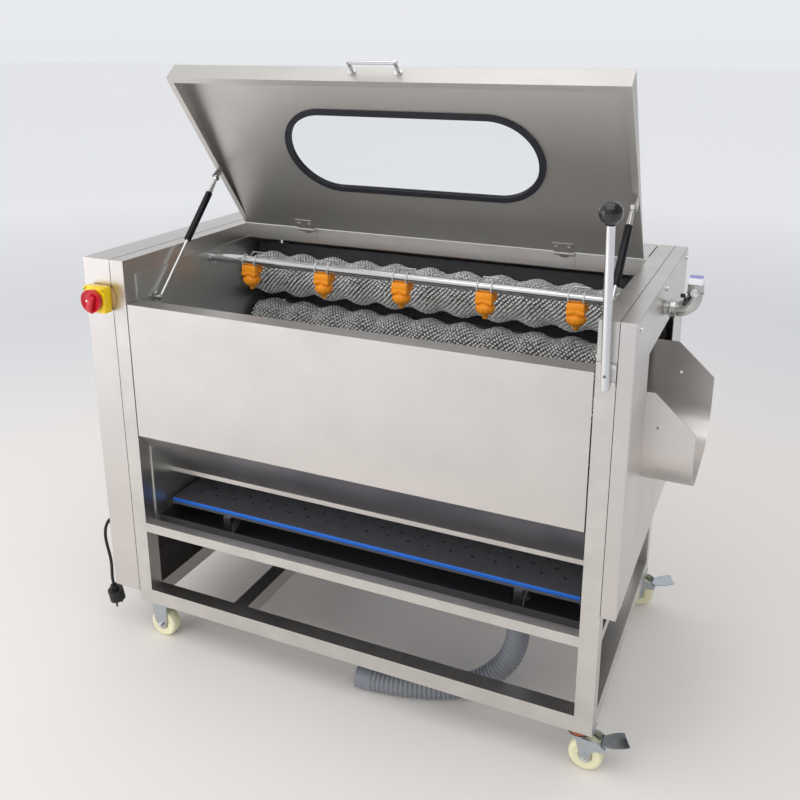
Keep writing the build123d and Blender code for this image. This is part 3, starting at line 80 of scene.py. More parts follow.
# Half profiles as (height, radius) in mm
SPROCKET = (
    (-5.9, 10), (-5.9, 15), (-3, 15), (-3, 33.5), (-1.4, 36), (1.4, 36), (3, 33.5), (3, 15), (6, 15), (6, 10),
)
NOZZLE_DOME = (
    (-54, 13), (-52, 16), (-47, 19.6), (-44, 22.2), (-42.5, 22.5), (-34, 22.5), (-31.5, 21.8), (-30, 20),
    (-27, 16.5), (-20, 15.5),
)
NOZZLE_TIP = (
    (6, 2), (1.2, 2), (0, 3.5), (0, 5.6), (0.8, 6.3), (10, 8.6), (11, 9.5), (13, 9.6), (14.5, 12.0),
    (17.5, 12.8), (21, 12.2), (25, 9),
)
SWITCH_DISH = (
    (0.3, 22), (0.3, 24), (2, 26.5), (10, 27.6), (13.5, 28.4), (15, 28), (15.2, 26.9), (14, 25.4),
    (10.5, 23), (9, 20), (9, 6),
)
WHEEL_SIDE = (
    (12, 9), (12, 14), (15, 16), (15, 24), (16, 26), (16, 31), (15, 33.5), (12.6, 36), (9, 37.2), (0, 37.5),
)
SWIVEL_SEAL = ((90, 14), (90, 21.5), (91.5, 24), (94, 24), (95.4, 22), (95.4, 14))
SWIVEL_CROWN = (
    (77, 6.6), (77, 14), (80, 19), (85, 23.4), (88, 25.4), (89.4, 25.8), (89.8, 25), (89.2, 23), (89.2, 6.6),
)

# Control points of the routes, in mm on the drawing
HOSE_ROUTE = (
    (388, -190, 275), (388, -190, 192), (378, -194, 132), (348, -204, 82), (302, -222, 46),
    (246, -246, 28), (182, -272, 28), (102, -294, 28), (18, -300, 28),
)
CABLE_ROUTE = (
    (-690, -322, 306), (-703, -326, 300), (-710, -334, 288), (-709, -342, 270), (-704, -347, 248),
    (-698, -348, 224), (-694, -347, 198), (-695, -345, 172), (-698, -344, 148), (-699, -343, 126),
    (-698, -341, 112),
)

# Camera as solved from the machine's edges: place in metres, tilt in degrees, turn in radians
CAMERA_PLACE = (0.85227, -1.90699, 1.5128)
CAMERA_TILT = 16.15
CAMERA_TURN = 0.4203
CAMERA_SENSOR = 36
CAMERA_LENS = 40.087
CAMERA_SHIFT = (-0.0081, -0.1227)

# Name, place, aim, side in metres, power in watts, colour and whether metal mirrors it, for each lamp
LAMPS = (
    ("ceiling", (0.2, -0.9, 3.4), (0, 0, 0.6), 3.0, 24, (1.0, 0.99, 0.98), True),
    ("window_left", (-3.6, -2.2, 1.3), (-0.3, 0, 0.7), 2.4, 26, (1.0, 0.97, 0.96), True),
    ("window_front", (-1.9, -4.0, 1.4), (0, 0, 0.7), 2.4, 62, (1.0, 0.99, 0.98), False),
)
# Strength of the room as light, in reflections, and as the camera sees it
ROOM_LIGHT = 0.9
ROOM_MIRRORED = 0.82
ROOM_SEEN = 1.0


def placed(points):
    """Points of the drawing, in mm, as points of the model in metres: drawing plus shift, times MM."""
    return (np.asarray(points, dtype=float) + DRAWING_SHIFT) * MM


def linear(hex_colour):
    """An sRGB hex colour as linear light, by the standard curve."""
    parts = [int(hex_colour[i : i + 2], 16) / 255 for i in (0, 2, 4)]
    return [p / 12.92 if p <= 0.04045 else ((p + 0.055) / 1.055) ** 2.4 for p in parts]


def colour(label, description, hex_colour):
    """A colour property with its default."""
    return bpy.props.FloatVectorProperty(
        name=label, description=description, subtype="COLOR", size=3, min=0, max=1, default=linear(hex_colour)
    )


def length(label, description, millimetres):
    """A length property with its default."""
    return bpy.props.FloatProperty(
        name=label, description=description, subtype="DISTANCE", unit="LENGTH", default=millimetres * MM
    )


class WasherSizes(bpy.types.PropertyGroup):
    tuft_pitch: length("Tuft pitch", "Distance between rings of bristle tufts along a roller", 5)
    tuft_radius: length("Tuft radius", "Half thickness of a bristle tuft at its root", 2.5)
    crest: length("Brush crest", "Radius of a brush at the top of its wave", 62)
    valley: length("Brush valley", "Radius of a brush at the bottom of its wave", 50)
    wave: length("Brush wave", "Length of one wave along the brush", 98)
    core: length("Brush core", "Radius of the core that carries the tufts", 38)
    rib_pitch: length("Rib pitch", "Distance between ribs of the drain hose", 11)
    rib_depth: length("Rib depth", "Depth of the grooves between the ribs", 2.5)
    hose_radius: length("Hose radius", "Outer radius of the drain hose", 27.5)
    hose_bore: length("Hose bore", "Inner radius of the drain hose", 23)
    cable_radius: length("Cable radius", "Radius of the supply cable", 4)
    edge_height: length("Tray edge", "Height of the blue edge on the tray", 10)
    floor_size: length("Floor size", "Side of the floor square", 120000)


class WasherColours(bpy.types.PropertyGroup):
    sheet: colour("Sheet steel", "Satin stainless sheet", "D9D5D2")
    tube: colour("Tube steel", "Satin stainless square tube", "DAD7D3")
    inner: colour("Trough steel", "Pickled stainless sheet inside the trough", "D9DDD9")
    lid: colour("Lid steel", "Satin stainless sheet of the lid", "D8D5D1")
    bright: colour("Bright steel", "Drawn stainless pipe and wire", "E4E4E4")
    galvanised: colour("Galvanised", "Hot dipped fitting", "C6C7C2")
    zinc: colour("Zinc plate", "Bright zinc plate of the castors", "BFC6CC")
    iron: colour("Bearing paint", "Painted bearing flanges", "4C4F52")
    motor: colour("Motor paint", "Grey motor enamel", "5A6068")
    chain: colour("Chain", "Oiled roller chain", "6B665F")
    nylon: colour("Nylon", "Cream cast nylon wheels", "E6E2BE")
    orange: colour("Orange plastic", "Moulded polypropylene nozzles", "FF9E1C")
    tuft_tip: colour("Tuft tip", "Ends of the nylon tufts", "F4F5F4")
    # Painted shade: the roots are coloured darker for the shadow deep among the tufts
    tuft_root: colour("Tuft root", "Shaded roots of the nylon tufts", "A6A4A2")
    rubber: colour("Rubber", "Window profile", "26282E")
    ball: colour("Ball", "Polished phenolic ball", "060608")
    barrel: colour("Strut barrel", "Gloss enamel of the struts", "0C0D12")
    yellow: colour("Yellow plastic", "Switch body", "F5D000")
    red: colour("Red plastic", "Switch knob", "C8182A")
    # Painted reflection: the tan stands for the yellow switch mirrored in the steel behind it
    tan: colour("Tan plastic", "Gasket behind the switch", "B8945F")
    white: colour("White plastic", "Valve handle", "F4F5F8")
    violet: colour("Violet plate", "Top plate of the valve handle", "8E86C8")
    # Painted shade: the tray is coloured charcoal for the shadow it lies in
    tray: colour("Tray coat", "Charcoal coating of the sieve tray", "5A5A60")
    # Painted shade: the pan is coloured dark for the shadow under the tray
    pan: colour("Pan coat", "Dark coating of the drain pan", "3A3A3E")
    blue: colour("Blue edge", "Edge strip of the tray", "2A72DA")
    hose: colour("Hose", "Grey PVC hose", "7F838A")
    cable: colour("Cable", "Black PVC cable jacket", "141416")
    seal: colour("Dust seal", "Orange-brown seal of a swivel", "B5683E")
    floor: colour("Floor", "Pale floor near the machine", "E9E5E1")
    mid_floor: colour("Mid floor", "Pale floor some steps from the machine", "E0E1E4")
    far_floor: colour("Far floor", "Pale floor away from the machine", "FCFDFF")
    horizon: colour("Horizon", "Room at floor height", "E7E9ED")
    dim_side: colour("Dim side", "Room to the right of the machine", "A9A9A9")
    sky: colour("Ceiling", "Room overhead", "F4F5F7")


def sizes():
    """The size properties of this scene."""
    return bpy.context.scene.washer_sizes


def colours():
    """The colour properties of this scene."""
    return bpy.context.scene.washer_colours


def middle(node):
    """Centre of a node's box."""
    low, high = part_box(node)
    return (np.asarray(low) + np.asarray(high)) / 2


def joint(name):
    """A joint of the frame."""
    return next(j for j in frame["joints"] if j["name"] == name)


def joint_place(name):
    """Place of a joint, in metres."""
    return np.array(joint(name)["pos_m"], dtype=float)


def path_length(path):
    """Length of the straight parts between a path's points."""
    return float(np.linalg.norm(np.diff(path, axis=0), axis=1).sum())


# Surfaces: each is its points and a list of face arrays, one array for each number of corners


def put_mesh(name, points, face_sets, material, sharp):
    """Mesh object of one surface, smooth but for edges sharper than an angle in degrees."""
    mesh = bpy.data.meshes.new(name)
    corners = np.concatenate([faces.ravel() for faces in face_sets]).astype(np.int32)
    counts = np.concatenate([np.full(len(faces), faces.shape[1]) for faces in face_sets])
    starts = np.concatenate([[0], np.cumsum(counts)[:-1]]).astype(np.int32)
    mesh.vertices.add(len(points))
    mesh.vertices.foreach_set("co", np.asarray(points, dtype=np.float32).ravel())
    mesh.loops.add(len(corners))
    mesh.loops.foreach_set("vertex_index", corners)
    mesh.polygons.add(len(counts))
    mesh.polygons.foreach_set("loop_start", starts)
    mesh.update(calc_edges=True)
    mesh.shade_smooth()
    mesh.set_sharp_from_angle(angle=math.radians(sharp))
    mesh.materials.append(material)
    piece = bpy.data.objects.new(name, mesh)
    bpy.context.scene.collection.objects.link(piece)
    return piece


def merged(surfaces):
    """Several surfaces as one, each face array moved up by the points before it."""
    points = np.concatenate([surface[0] for surface in surfaces])
    offsets = np.cumsum([0] + [len(surface[0]) for surface in surfaces[:-1]])
    by_corners = {}
    for (_, face_sets), offset in zip(surfaces, offsets):
        for faces in face_sets:
            by_corners.setdefault(faces.shape[1], []).append(faces + offset)
    return points, [np.concatenate(group) for group in by_corners.values()]


def ring_faces(rings, sides, wrapped=False):
    """Quads between rings of points: corner (i, j), (i, j+1), (i+1, j+1), (i+1, j), with j taken round."""
    i, j = np.meshgrid(np.arange(rings if wrapped else rings - 1), np.arange(sides), indexing="ij")
    here, following, ahead = i * sides, (i + 1) % rings * sides, (j + 1) % sides
    return np.stack((here + j, here + ahead, following + ahead, following + j), axis=-1).reshape(-1, 4)


def end_caps(sides, rings, pole):
    """Triangles that shut the first ring to its pole and the last ring to the pole after it, facing out."""
    here = np.arange(sides)
    ahead = (here + 1) % sides
    last = (rings - 1) * sides
    foot = np.stack((ahead, here, np.full(sides, pole)), axis=-1)
    head = np.stack((last + here, last + ahead, np.full(sides, pole + 1)), axis=-1)
    return np.concatenate((foot, head))


def across(axis):
    """The unit axis and two unit vectors square to it, so that side x up = axis."""
    axis = np.asarray(axis, dtype=float)
    axis = axis / np.linalg.norm(axis)
    side = np.cross(UP if abs(axis[2]) < 0.9 else ALONG, axis)
    side = side / np.linalg.norm(side)
    return axis, side, np.cross(axis, side)


def turned(profile, centre, axis, sides=40, closed=False):
    """Surface of revolution: centre + h axis + r (cos t side + sin t up) for each (h, r) of the profile.

    An open profile is shut at both ends by triangles to a pole on the axis."""
    axis, side, up = across(axis)
    profile = np.asarray(profile, dtype=float) * MM
    turn = np.arange(sides) * FULL_TURN / sides
    round_part = np.cos(turn)[:, None] * side + np.sin(turn)[:, None] * up
    centre = np.asarray(centre, dtype=float)
    points = centre + profile[:, 0, None, None] * axis + profile[:, 1, None, None] * round_part
    points = points.reshape(-1, 3)
    rings = len(profile)
    if closed:
        return points, [ring_faces(rings, sides, wrapped=True)]
    poles = centre + profile[[0, -1], 0][:, None] * axis
    return np.concatenate((points, poles)), [ring_faces(rings, sides), end_caps(sides, rings, len(points))]


def rounded_block(centre, half, radius, axes=None, taper=1.0):
    """Block with round edges: every direction n of a sphere goes to sign(n) (half - radius) + radius n.

    taper narrows the block towards its top: its sideways part is scaled by 1 at the foot, by taper on top."""
    tilts = np.radians((-80, -45, -10, 10, 45, 80))
    turns = (np.arange(16) + 0.5) * FULL_TURN / 16
    tilt, turn = np.meshgrid(tilts, turns, indexing="ij")
    way = np.stack((np.cos(tilt) * np.cos(turn), np.cos(tilt) * np.sin(turn), np.sin(tilt)), axis=-1)
    half = np.asarray(half, dtype=float) * MM
    radius = radius * MM
    points = (np.sign(way) * (half - radius) + radius * way).reshape(-1, 3)
    faces = [ring_faces(len(tilts), len(turns)), end_caps(len(turns), len(tilts), len(points))]
    points = np.concatenate((points, [[0, 0, -half[2]], [0, 0, half[2]]]))
    points[:, :2] *= 1 + (taper - 1) * (points[:, 2:3] / half[2] + 1) / 2
    if axes is not None:
        points = points @ np.asarray(axes, dtype=float)
    return points + np.asarray(centre, dtype=float), faces


def tube_along(path, distances, radii, sides, reference, closed=False):
    """Tube round a path: at each distance s the point is P(s) + r (cos t side + sin t up).

    side is square to the path and to the reference vector; P comes from straight parts between path points."""
    steps = np.linalg.norm(np.diff(path, axis=0), axis=1)
    reached = np.concatenate([[0], np.cumsum(steps)])
    at = np.clip(distances, 0, reached[-1])
    centre = np.stack([np.interp(at, reached, path[:, k]) for k in range(3)], axis=-1)
    slopes = np.gradient(path, reached, axis=0)
    heading = np.stack([np.interp(at, reached, slopes[:, k]) for k in range(3)], axis=-1)
    heading /= np.linalg.norm(heading, axis=1)[:, None]
    side = np.cross(np.asarray(reference, dtype=float), heading)
    side /= np.linalg.norm(side, axis=1)[:, None]
    up = np.cross(heading, side)
    turn = (np.arange(sides) * FULL_TURN / sides)[None, :, None]
    around = np.cos(turn) * side[:, None] + np.sin(turn) * up[:, None]
    points = (centre[:, None] + np.asarray(radii)[:, None, None] * around).reshape(-1, 3)
    rings = len(distances)
    if closed:
        return points, [ring_faces(rings, sides, wrapped=True)]
    faces = [ring_faces(rings, sides), end_caps(sides, rings, len(points))]
    return np.concatenate((points, centre[[0, -1]])), faces


def arc(centre, radius, start, end, count=9):
    """Points of an arc counter-clockwise from one angle to another, in degrees."""
    return [
        (centre[0] + radius * math.cos(turn), centre[1] + radius * math.sin(turn))
        for turn in np.radians(np.linspace(start, end, count))
    ]


def slab(outline, thickness, origin, first, second):
    """Prism: an outline point (u, v) lies at origin + u first + v second.

    It lies there again one thickness farther along first x second, and quads join the two."""
    flat = np.asarray(outline, dtype=float) * MM
    near = origin + flat[:, :1] * first + flat[:, 1:] * second
    far = near + thickness * MM * np.cross(first, second)
    count = len(flat)
    j = np.arange(count)
    ahead = (j + 1) % count
    sides = np.stack((j, ahead, count + ahead, count + j), axis=-1)
    return np.concatenate((near, far)), [sides, j[::-1][None], (count + j)[None]]


def thick_sheet(grid, thickness):
    """Closed sheet: a grid of points, the same grid lower by the thickness, and quads round their rim."""
    rows, columns = grid.shape[:2]
    count = rows * columns
    under = grid - np.array((0, 0, thickness * MM))
    i, j = np.meshgrid(np.arange(rows - 1), np.arange(columns - 1), indexing="ij")
    here = (i * columns + j).ravel()
    quads = np.stack((here, here + columns, here + columns + 1, here + 1), axis=-1)
    rim = np.concatenate(
        (
            np.arange(columns),
            np.arange(1, rows) * columns + columns - 1,
            count - 2 - np.arange(columns - 1),
            np.arange(rows - 2, 0, -1) * columns,
        )
    )
    ahead = np.roll(rim, -1)
    edge = np.stack((rim, ahead, ahead + count, rim + count), axis=-1)
    return np.concatenate((grid.reshape(-1, 3), under.reshape(-1, 3))), [quads, quads[:, ::-1] + count, edge]


# Finishes


def set_inputs(tree, node, inputs):
    """Sets or links sockets, from a dictionary by name or a tuple in the order of the sockets in use."""
    used = [socket for socket in node.inputs if socket.enabled]
    if isinstance(inputs, dict):
        used = [next(socket for socket in used if socket.name == name) for name in inputs]
        inputs = inputs.values()
    for socket, value in zip(used, inputs):
        if isinstance(value, bpy.types.Node):
            value = next(output for output in value.outputs if output.enabled)
        if isinstance(value, bpy.types.NodeSocket):
            tree.links.new(value, socket)
        else:
            socket.default_value = (*value[:3], 1.0) if socket.type == "RGBA" else value


def add_node(tree, kind, inputs=(), **settings):
    """Adds one node with its own settings, and sets or links its sockets."""
    node = tree.nodes.new(kind)
    for name, value in settings.items():
        setattr(node, name, value)
    set_inputs(tree, node, inputs)
    return node


def shaded(rgb, share):
    """A colour scaled in brightness, kept within 0 and 1."""
    return [min(1.0, part * share) for part in rgb]


def new_finish(name):
    """A material with its tree and shader, and Object coordinates."""
    material = bpy.data.materials.new(name)
    material.use_nodes = True
    tree = material.node_tree
    return material, tree, tree.nodes["Principled BSDF"], add_node(tree, "ShaderNodeTexCoord").outputs["Object"]


def worked_metal(name, rgb, roughness, grain, smudge, depth, swing=0.04, dark=0.93):
    """Metal with a worked grain: fine streaks, slow smudges in gloss and tone, and a shallow bump.

    grain is the number of streaks per metre along X, Y and Z, smudge the size of a smudge in metres."""
    material, tree, shader, place = new_finish(name)
    lines = add_node(tree, "ShaderNodeMapping", {"Vector": place, "Scale": grain})
    # Noise takes its place, scale, detail and roughness
    streaks = add_node(tree, "ShaderNodeTexNoise", (lines, 1.0, 2.0, 0.5)).outputs["Fac"]
    clouds = add_node(tree, "ShaderNodeTexNoise", (place, 1 / smudge, 5.0, 0.55)).outputs["Fac"]
    fine = add_node(tree, "ShaderNodeMapRange", (streaks, 0.3, 0.7, -swing / 2, swing / 2))
    slow = add_node(tree, "ShaderNodeMapRange", (clouds, 0.35, 0.7, roughness - swing, roughness + swing))
    gloss = add_node(tree, "ShaderNodeMath", (fine, slow), operation="ADD")
    share = add_node(tree, "ShaderNodeMapRange", (clouds, 0.35, 0.75, 0.0, 1.0))
    tint = add_node(tree, "ShaderNodeMix", (share, rgb, shaded(rgb, dark)), data_type="RGBA")
    bump = add_node(tree, "ShaderNodeBump", {"Height": streaks, "Strength": 0.1, "Distance": depth})
    set_inputs(tree, shader, {"Base Color": tint, "Metallic": 1.0, "Roughness": gloss, "Normal": bump})
    return material


def moulded(name, rgb, roughness, grit, depth, coat=0.0, dark=0.82, **more):
    """Moulded, cast or painted surface: fine grit in the bump, slow change of tone and gloss.

    grit is the grain size in metres."""
    material, tree, shader, place = new_finish(name)
    grains = add_node(tree, "ShaderNodeTexNoise", (place, 1 / grit, 2.0, 0.5)).outputs["Fac"]
    clouds = add_node(tree, "ShaderNodeTexNoise", (place, 0.08 / grit, 4.0, 0.6)).outputs["Fac"]
    tint = add_node(tree, "ShaderNodeMix", (clouds, rgb, shaded(rgb, dark)), data_type="RGBA")
    gloss = add_node(tree, "ShaderNodeMapRange", (clouds, 0.3, 0.7, roughness * 0.85, roughness * 1.15))
    bump = add_node(tree, "ShaderNodeBump", {"Height": grains, "Strength": 0.4, "Distance": depth})
    values = {"Base Color": tint, "Roughness": gloss, "Normal": bump, "Coat Weight": coat, **more}
    set_inputs(tree, shader, values)
    return material


def bristle(name, tip, root):
    """Crimped nylon tufts: pale at the ends, darker towards the roots as painted shade, each tuft a little off the
    next in tone.
    """
    material, tree, shader, place = new_finish(name)
    reach = add_node(tree, "ShaderNodeAttribute", attribute_name="reach").outputs["Fac"]
    tone = add_node(tree, "ShaderNodeAttribute", attribute_name="tone").outputs["Fac"]
    # Painted shade: the colour runs from the shaded root colour at the root to the tip colour at the end
    share = add_node(tree, "ShaderNodeMapRange", (reach, 0.15, 1.0, 0.0, 1.0))
    along = add_node(tree, "ShaderNodeMix", (share, root, tip), data_type="RGBA")
    value = add_node(tree, "ShaderNodeMapRange", (tone, 0.0, 1.0, 0.8, 1.15))
    varied = add_node(tree, "ShaderNodeHueSaturation", {"Color": along, "Saturation": 0.9, "Value": value})
    # Crimp of the filaments, 1.2 mm, drawn coarser than the real 0.5 mm so that it shows
    crimp = add_node(tree, "ShaderNodeTexNoise", (place, 850.0, 1.0)).outputs["Fac"]
    bump = add_node(tree, "ShaderNodeBump", {"Height": crimp, "Strength": 0.5, "Distance": 0.4 * MM})
    values = {"Base Color": varied, "Roughness": 0.55, "Normal": bump, "Specular IOR Level": 0.4}
    set_inputs(tree, shader, values)
    return material


def clear_pane():
    """Clear polycarbonate pane: colourless, with faint wiping marks in its gloss."""
    material, tree, shader, place = new_finish("clear_polycarbonate")
    wipes = add_node(tree, "ShaderNodeTexNoise", (place, 9.0, 4.0)).outputs["Fac"]
    gloss = add_node(tree, "ShaderNodeMapRange", (wipes, 0.45, 0.75, 0.0, 0.06))
    values = {"Base Color": (0.97, 0.98, 0.98), "Roughness": gloss, "Transmission Weight": 1.0, "IOR": 1.2}
    set_inputs(tree, shader, values)
    return material


def make_finishes():
    """All the finishes by the record's slot, and a few that only scene pieces have."""
    c = colours()
    return {
        # 2B sheet, brushed along its length: a soft mirror with lines 2.4 mm apart, coarser than the real
        # 0.2 mm so that they show
        "sheet_steel": worked_metal("stainless_sheet_2b", c.sheet, 0.34, (8, 420, 420), 0.16, 0.02 * MM),
        # Square tube, ground at the welds: duller and more even
        "satin_steel": worked_metal(
            "stainless_tube_satin", c.tube, 0.36, (180, 180, 180), 0.07, 0.03 * MM, dark=0.88
        ),
        # Sheet of the lid, brushed more roughly: duller
        "lid_steel": worked_metal(
            "stainless_sheet_brushed", c.lid, 0.46, (10, 420, 420), 0.2, 0.02 * MM, dark=0.9
        ),
        # Pickled sheet inside the trough: flat grey, a little green
        "inner_sheet": worked_metal(
            "stainless_sheet_pickled", c.inner, 0.42, (60, 60, 60), 0.12, 0.03 * MM, 0.1
        ),
        # Drawn pipe and wire, nearly polished
        "pipe_steel": worked_metal("stainless_pipe_polished", c.bright, 0.16, (20, 500, 500), 0.05, 0.01 * MM),
        # Galvanised malleable iron: bright with soft lumps of zinc
        "cast_fitting": worked_metal(
            "malleable_iron_galvanised", c.galvanised, 0.26, (150, 150, 150), 0.02, 0.2 * MM, 0.1
        ),
        "bolt_steel": worked_metal("stainless_bolts", c.bright, 0.22, (400, 400, 400), 0.01, 0.02 * MM),
        "zinc": worked_metal("zinc_plated_steel", c.zinc, 0.25, (260, 260, 260), 0.015, 0.03 * MM),
        "chain_steel": worked_metal("oiled_steel", c.chain, 0.35, (300, 300, 300), 0.01, 0.1 * MM, dark=0.5),
        "strut_chrome": worked_metal("hard_chrome", c.bright, 0.1, (300, 300, 300), 0.03, 0.005 * MM),
        # Bright wire of the nozzle clips, nickel plated
        "clip_wire": moulded("nickel_wire", c.bright, 0.3, 0.001, 0.01 * MM, dark=0.95, Metallic=0.5),
        # Enamels and coatings, with orange peel 1.5 to 3 mm across; the tray and the pan are coloured dark as
        # painted shade
        "bearing_iron": moulded("bearing_enamel", c.iron, 0.45, 0.002, 0.1 * MM),
        "motor_paint": moulded("motor_enamel", c.motor, 0.42, 0.002, 0.1 * MM),
        "black_gloss": moulded(
            "strut_enamel", c.barrel, 0.25, 0.003, 0.01 * MM, **{"Specular IOR Level": 0.35}
        ),
        # Painted shade: charcoal for the shadow that the tray lies in
        "tray_grey": moulded("tray_painted_shade", c.tray, 0.5, 0.0015, 0.08 * MM, dark=0.7),
        # Painted shade: dark for the shadow inside the pan
        "pan_dark": moulded("pan_painted_shade", c.pan, 0.55, 0.002, 0.1 * MM),
        # Cast nylon: dull, slightly see-through wax
        "nylon": moulded(
            "cast_nylon", c.nylon, 0.38, 0.0012, 0.05 * MM, dark=0.9,
            **{"Subsurface Weight": 0.15, "Subsurface Scale": 0.01},
        ),
        # Moulded and extruded plastics and rubber: a grain of 1 mm and more, coarser than real so that it shows
        "orange_plastic": moulded("polypropylene_orange", c.orange, 0.4, 0.001, 0.02 * MM, dark=0.94),
        "yellow_plastic": moulded(
            "polycarbonate_yellow", c.yellow, 0.28, 0.001, 0.02 * MM, coat=0.2, dark=0.9
        ),
        "red_plastic": moulded("polycarbonate_red", c.red, 0.25, 0.001, 0.02 * MM, coat=0.3, dark=0.85),
        "white_plastic": moulded("abs_white", c.white, 0.35, 0.001, 0.02 * MM, dark=0.93),
        "rubber": moulded("epdm_profile", c.rubber, 0.5, 0.0015, 0.05 * MM, dark=0.75),
        "black_ball": moulded("phenolic_ball", c.ball, 0.07, 0.004, 0.003 * MM, coat=0.6),
        "hose_grey": moulded("pvc_hose", c.hose, 0.42, 0.0015, 0.05 * MM, dark=0.78),
        "cable_black": moulded("pvc_jacket", c.cable, 0.45, 0.001, 0.04 * MM),
        "plug_black": moulded("plug_rubber", c.cable, 0.5, 0.0012, 0.06 * MM),
        "violet_plate": moulded("anodised_violet", c.violet, 0.3, 0.001, 0.02 * MM, dark=0.9),
        # Painted reflection: the ring behind the switch is coloured tan for the yellow switch mirrored in the
        # steel
        "tan_plastic": moulded("switch_ring_painted_reflection", c.tan, 0.5, 0.001, 0.03 * MM),
        "blue_edge": moulded("blue_edge_strip", c.blue, 0.4, 0.001, 0.03 * MM, dark=0.8),
        "dust_seal": moulded("seal_plastic", c.seal, 0.5, 0.001, 0.04 * MM),
        "mark_black": moulded("printed_black", c.cable, 0.4, 0.001, 0.01 * MM),
        # The core takes the tuft roots' painted shade colour, for the shadow under the tufts
        "roller_core": moulded("core_pvc_painted_shade", c.tuft_root, 0.5, 0.002, 0.05 * MM),
        "brush": bristle("nylon_tufts", c.tuft_tip, c.tuft_root),
        "pane": clear_pane(),
    }


FINISHES = {}


def dress(piece, body, slot, *replaced):
    """Gives a piece its body and hides the nodes it stands for; the slot is not used."""
    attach(piece, body)
    if replaced:
        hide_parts(*replaced)
    return piece


def add_piece(name, surface, body, slot, *replaced, finish=None, sharp=40):
    """A mesh piece in the finish of its slot, or in another, on its body and for the nodes it replaces."""
    piece = put_mesh(name, *surface, FINISHES[finish or slot], sharp)
    return dress(piece, body, slot, *replaced)


# Operators


class WASHER_OT_view(bpy.types.Operator):
    """Camera at the photographed viewing point, as solved from the machine's edges"""

    bl_idname = "washer.view"
    bl_label = "Camera"

    def execute(self, context):
        camera_data = bpy.data.cameras.new("view")
        camera_data.sensor_width = CAMERA_SENSOR
        camera_data.lens = CAMERA_LENS
        camera_data.shift_x, camera_data.shift_y = CAMERA_SHIFT
        camera_data.clip_start = 0.05
        camera = bpy.data.objects.new("view", camera_data)
        camera.location = CAMERA_PLACE
        camera.rotation_euler = (math.radians(90 - CAMERA_TILT), 0, CAMERA_TURN)
        context.scene.collection.objects.link(camera)
        context.scene.camera = camera
        return {"FINISHED"}


class WASHER_OT_finishes(bpy.types.Operator):
    """Makes the finishes, and gives every part of the frame that stays the finish of its slot"""

    bl_idname = "washer.finishes"
    bl_label = "Finishes"

    def execute(self, context):
        FINISHES.update(make_finishes())
        for entry in frame["record"]["subparts"]:
            materials = nodes[entry["node"]].data.materials
            materials.clear()
            inside = entry["node"] in ("left_end_wall", "right_end_wall")
            materials.append(FINISHES["inner_sheet" if inside else entry["material_slot"]])
        return {"FINISHED"}


def route_curve(name, route):
    """NURBS curve of order 3 through its end points, with the route's points as control points."""
    data = bpy.data.curves.new(name, "CURVE")
    data.dimensions = "3D"
    spline = data.splines.new("NURBS")
    spline.points.add(len(route) - 1)
    points = np.concatenate((placed(route), np.ones((len(route), 1))), axis=1)
    spline.points.foreach_set("co", points.ravel())
    spline.order_u = 3
    spline.use_endpoint_u = True
    spline.resolution_u = 24
    data.resolution_u = 24
    curve = bpy.data.objects.new(name, data)
    bpy.context.scene.collection.objects.link(curve)
    return curve


def mesh_of(holder):
    """Mesh of a curve or text object, and its points as an array."""
    bpy.context.view_layer.update()
    mesh = bpy.data.meshes.new_from_object(holder)
    points = np.empty(len(mesh.vertices) * 3)
    mesh.vertices.foreach_get("co", points)
    return mesh, points.reshape(-1, 3)


class WASHER_OT_hose(bpy.types.Operator):
    """Ribbed drain hose: outer radius follows the ribs, a plain bore runs back inside it"""

    bl_idname = "washer.hose"
    bl_label = "Drain hose"

    def execute(self, context):
        s = sizes()
        guide = route_curve("hose_guide", HOSE_ROUTE)
        line = mesh_of(guide)[1]
        bpy.data.objects.remove(guide)
        total = path_length(line)
        outer = np.linspace(0, total, 2 + int(total / s.rib_pitch * 8))
        rib = 0.5 - 0.5 * np.cos(FULL_TURN * outer / s.rib_pitch)
        ridge = np.clip(rib * 1.6 - 0.3, 0, 1)
        radius = s.hose_radius - s.rib_depth * (1 - ridge)
        # Plain cuffs, 22 mm at the spigot and 40 mm at the open end
        in_cuff = (outer < 22 * MM) | (outer > total - 40 * MM)
        radius = np.where(in_cuff, s.hose_radius - 0.5 * MM, radius)
        inner = np.linspace(total, 0, 60)
        distances = np.concatenate((outer, inner))
        radii = np.concatenate((radius, np.full(len(inner), s.hose_bore)))
        surface = tube_along(line, distances, radii, 40, (0.3, -0.95, 0.05), closed=True)
        hose = add_piece("ribbed_drain_hose", surface, "frame", "hose_grey", "drain_hose", sharp=60)
        return {"FINISHED"}


class WASHER_OT_cable(bpy.types.Operator):
    """Supply cable on its smooth route, with a tapered strain relief at the gland"""

    bl_idname = "washer.cable"
    bl_label = "Supply cable"

    def execute(self, context):
        s = sizes()
        cable = route_curve("supply_lead", CABLE_ROUTE)
        line = mesh_of(cable)[1]
        cable.data.bevel_depth = s.cable_radius
        cable.data.bevel_resolution = 6
        cable.data.use_fill_caps = True
        cable.data.materials.append(FINISHES["cable_black"])
        dress(cable, "frame", "cable_black", "supply_cable")
        # The sleeve narrows in seven rings from the gland to the jacket
        along = np.linspace(0, 26 * MM, 57)
        grooves = 0.5 * MM * (np.cos(FULL_TURN * along / (3.7 * MM)) > 0.6)
        radii = np.linspace(7.6, 4.5, 57) * MM - grooves
        surface = tube_along(line, along, radii, 24, (0.2, 1.0, 0.1))
        sleeve = add_piece("strain_relief", surface, "frame", "cable_black", sharp=50)
        return {"FINISHED"}


def brush_shape(along):
    """Radius of the brush along it: (crest + valley) / 2 - (crest - valley) / 2 cos(2 pi x / wave)."""
    s = sizes()
    return (s.crest + s.valley) / 2 - (s.crest - s.valley) / 2 * np.cos(FULL_TURN * along / s.wave)


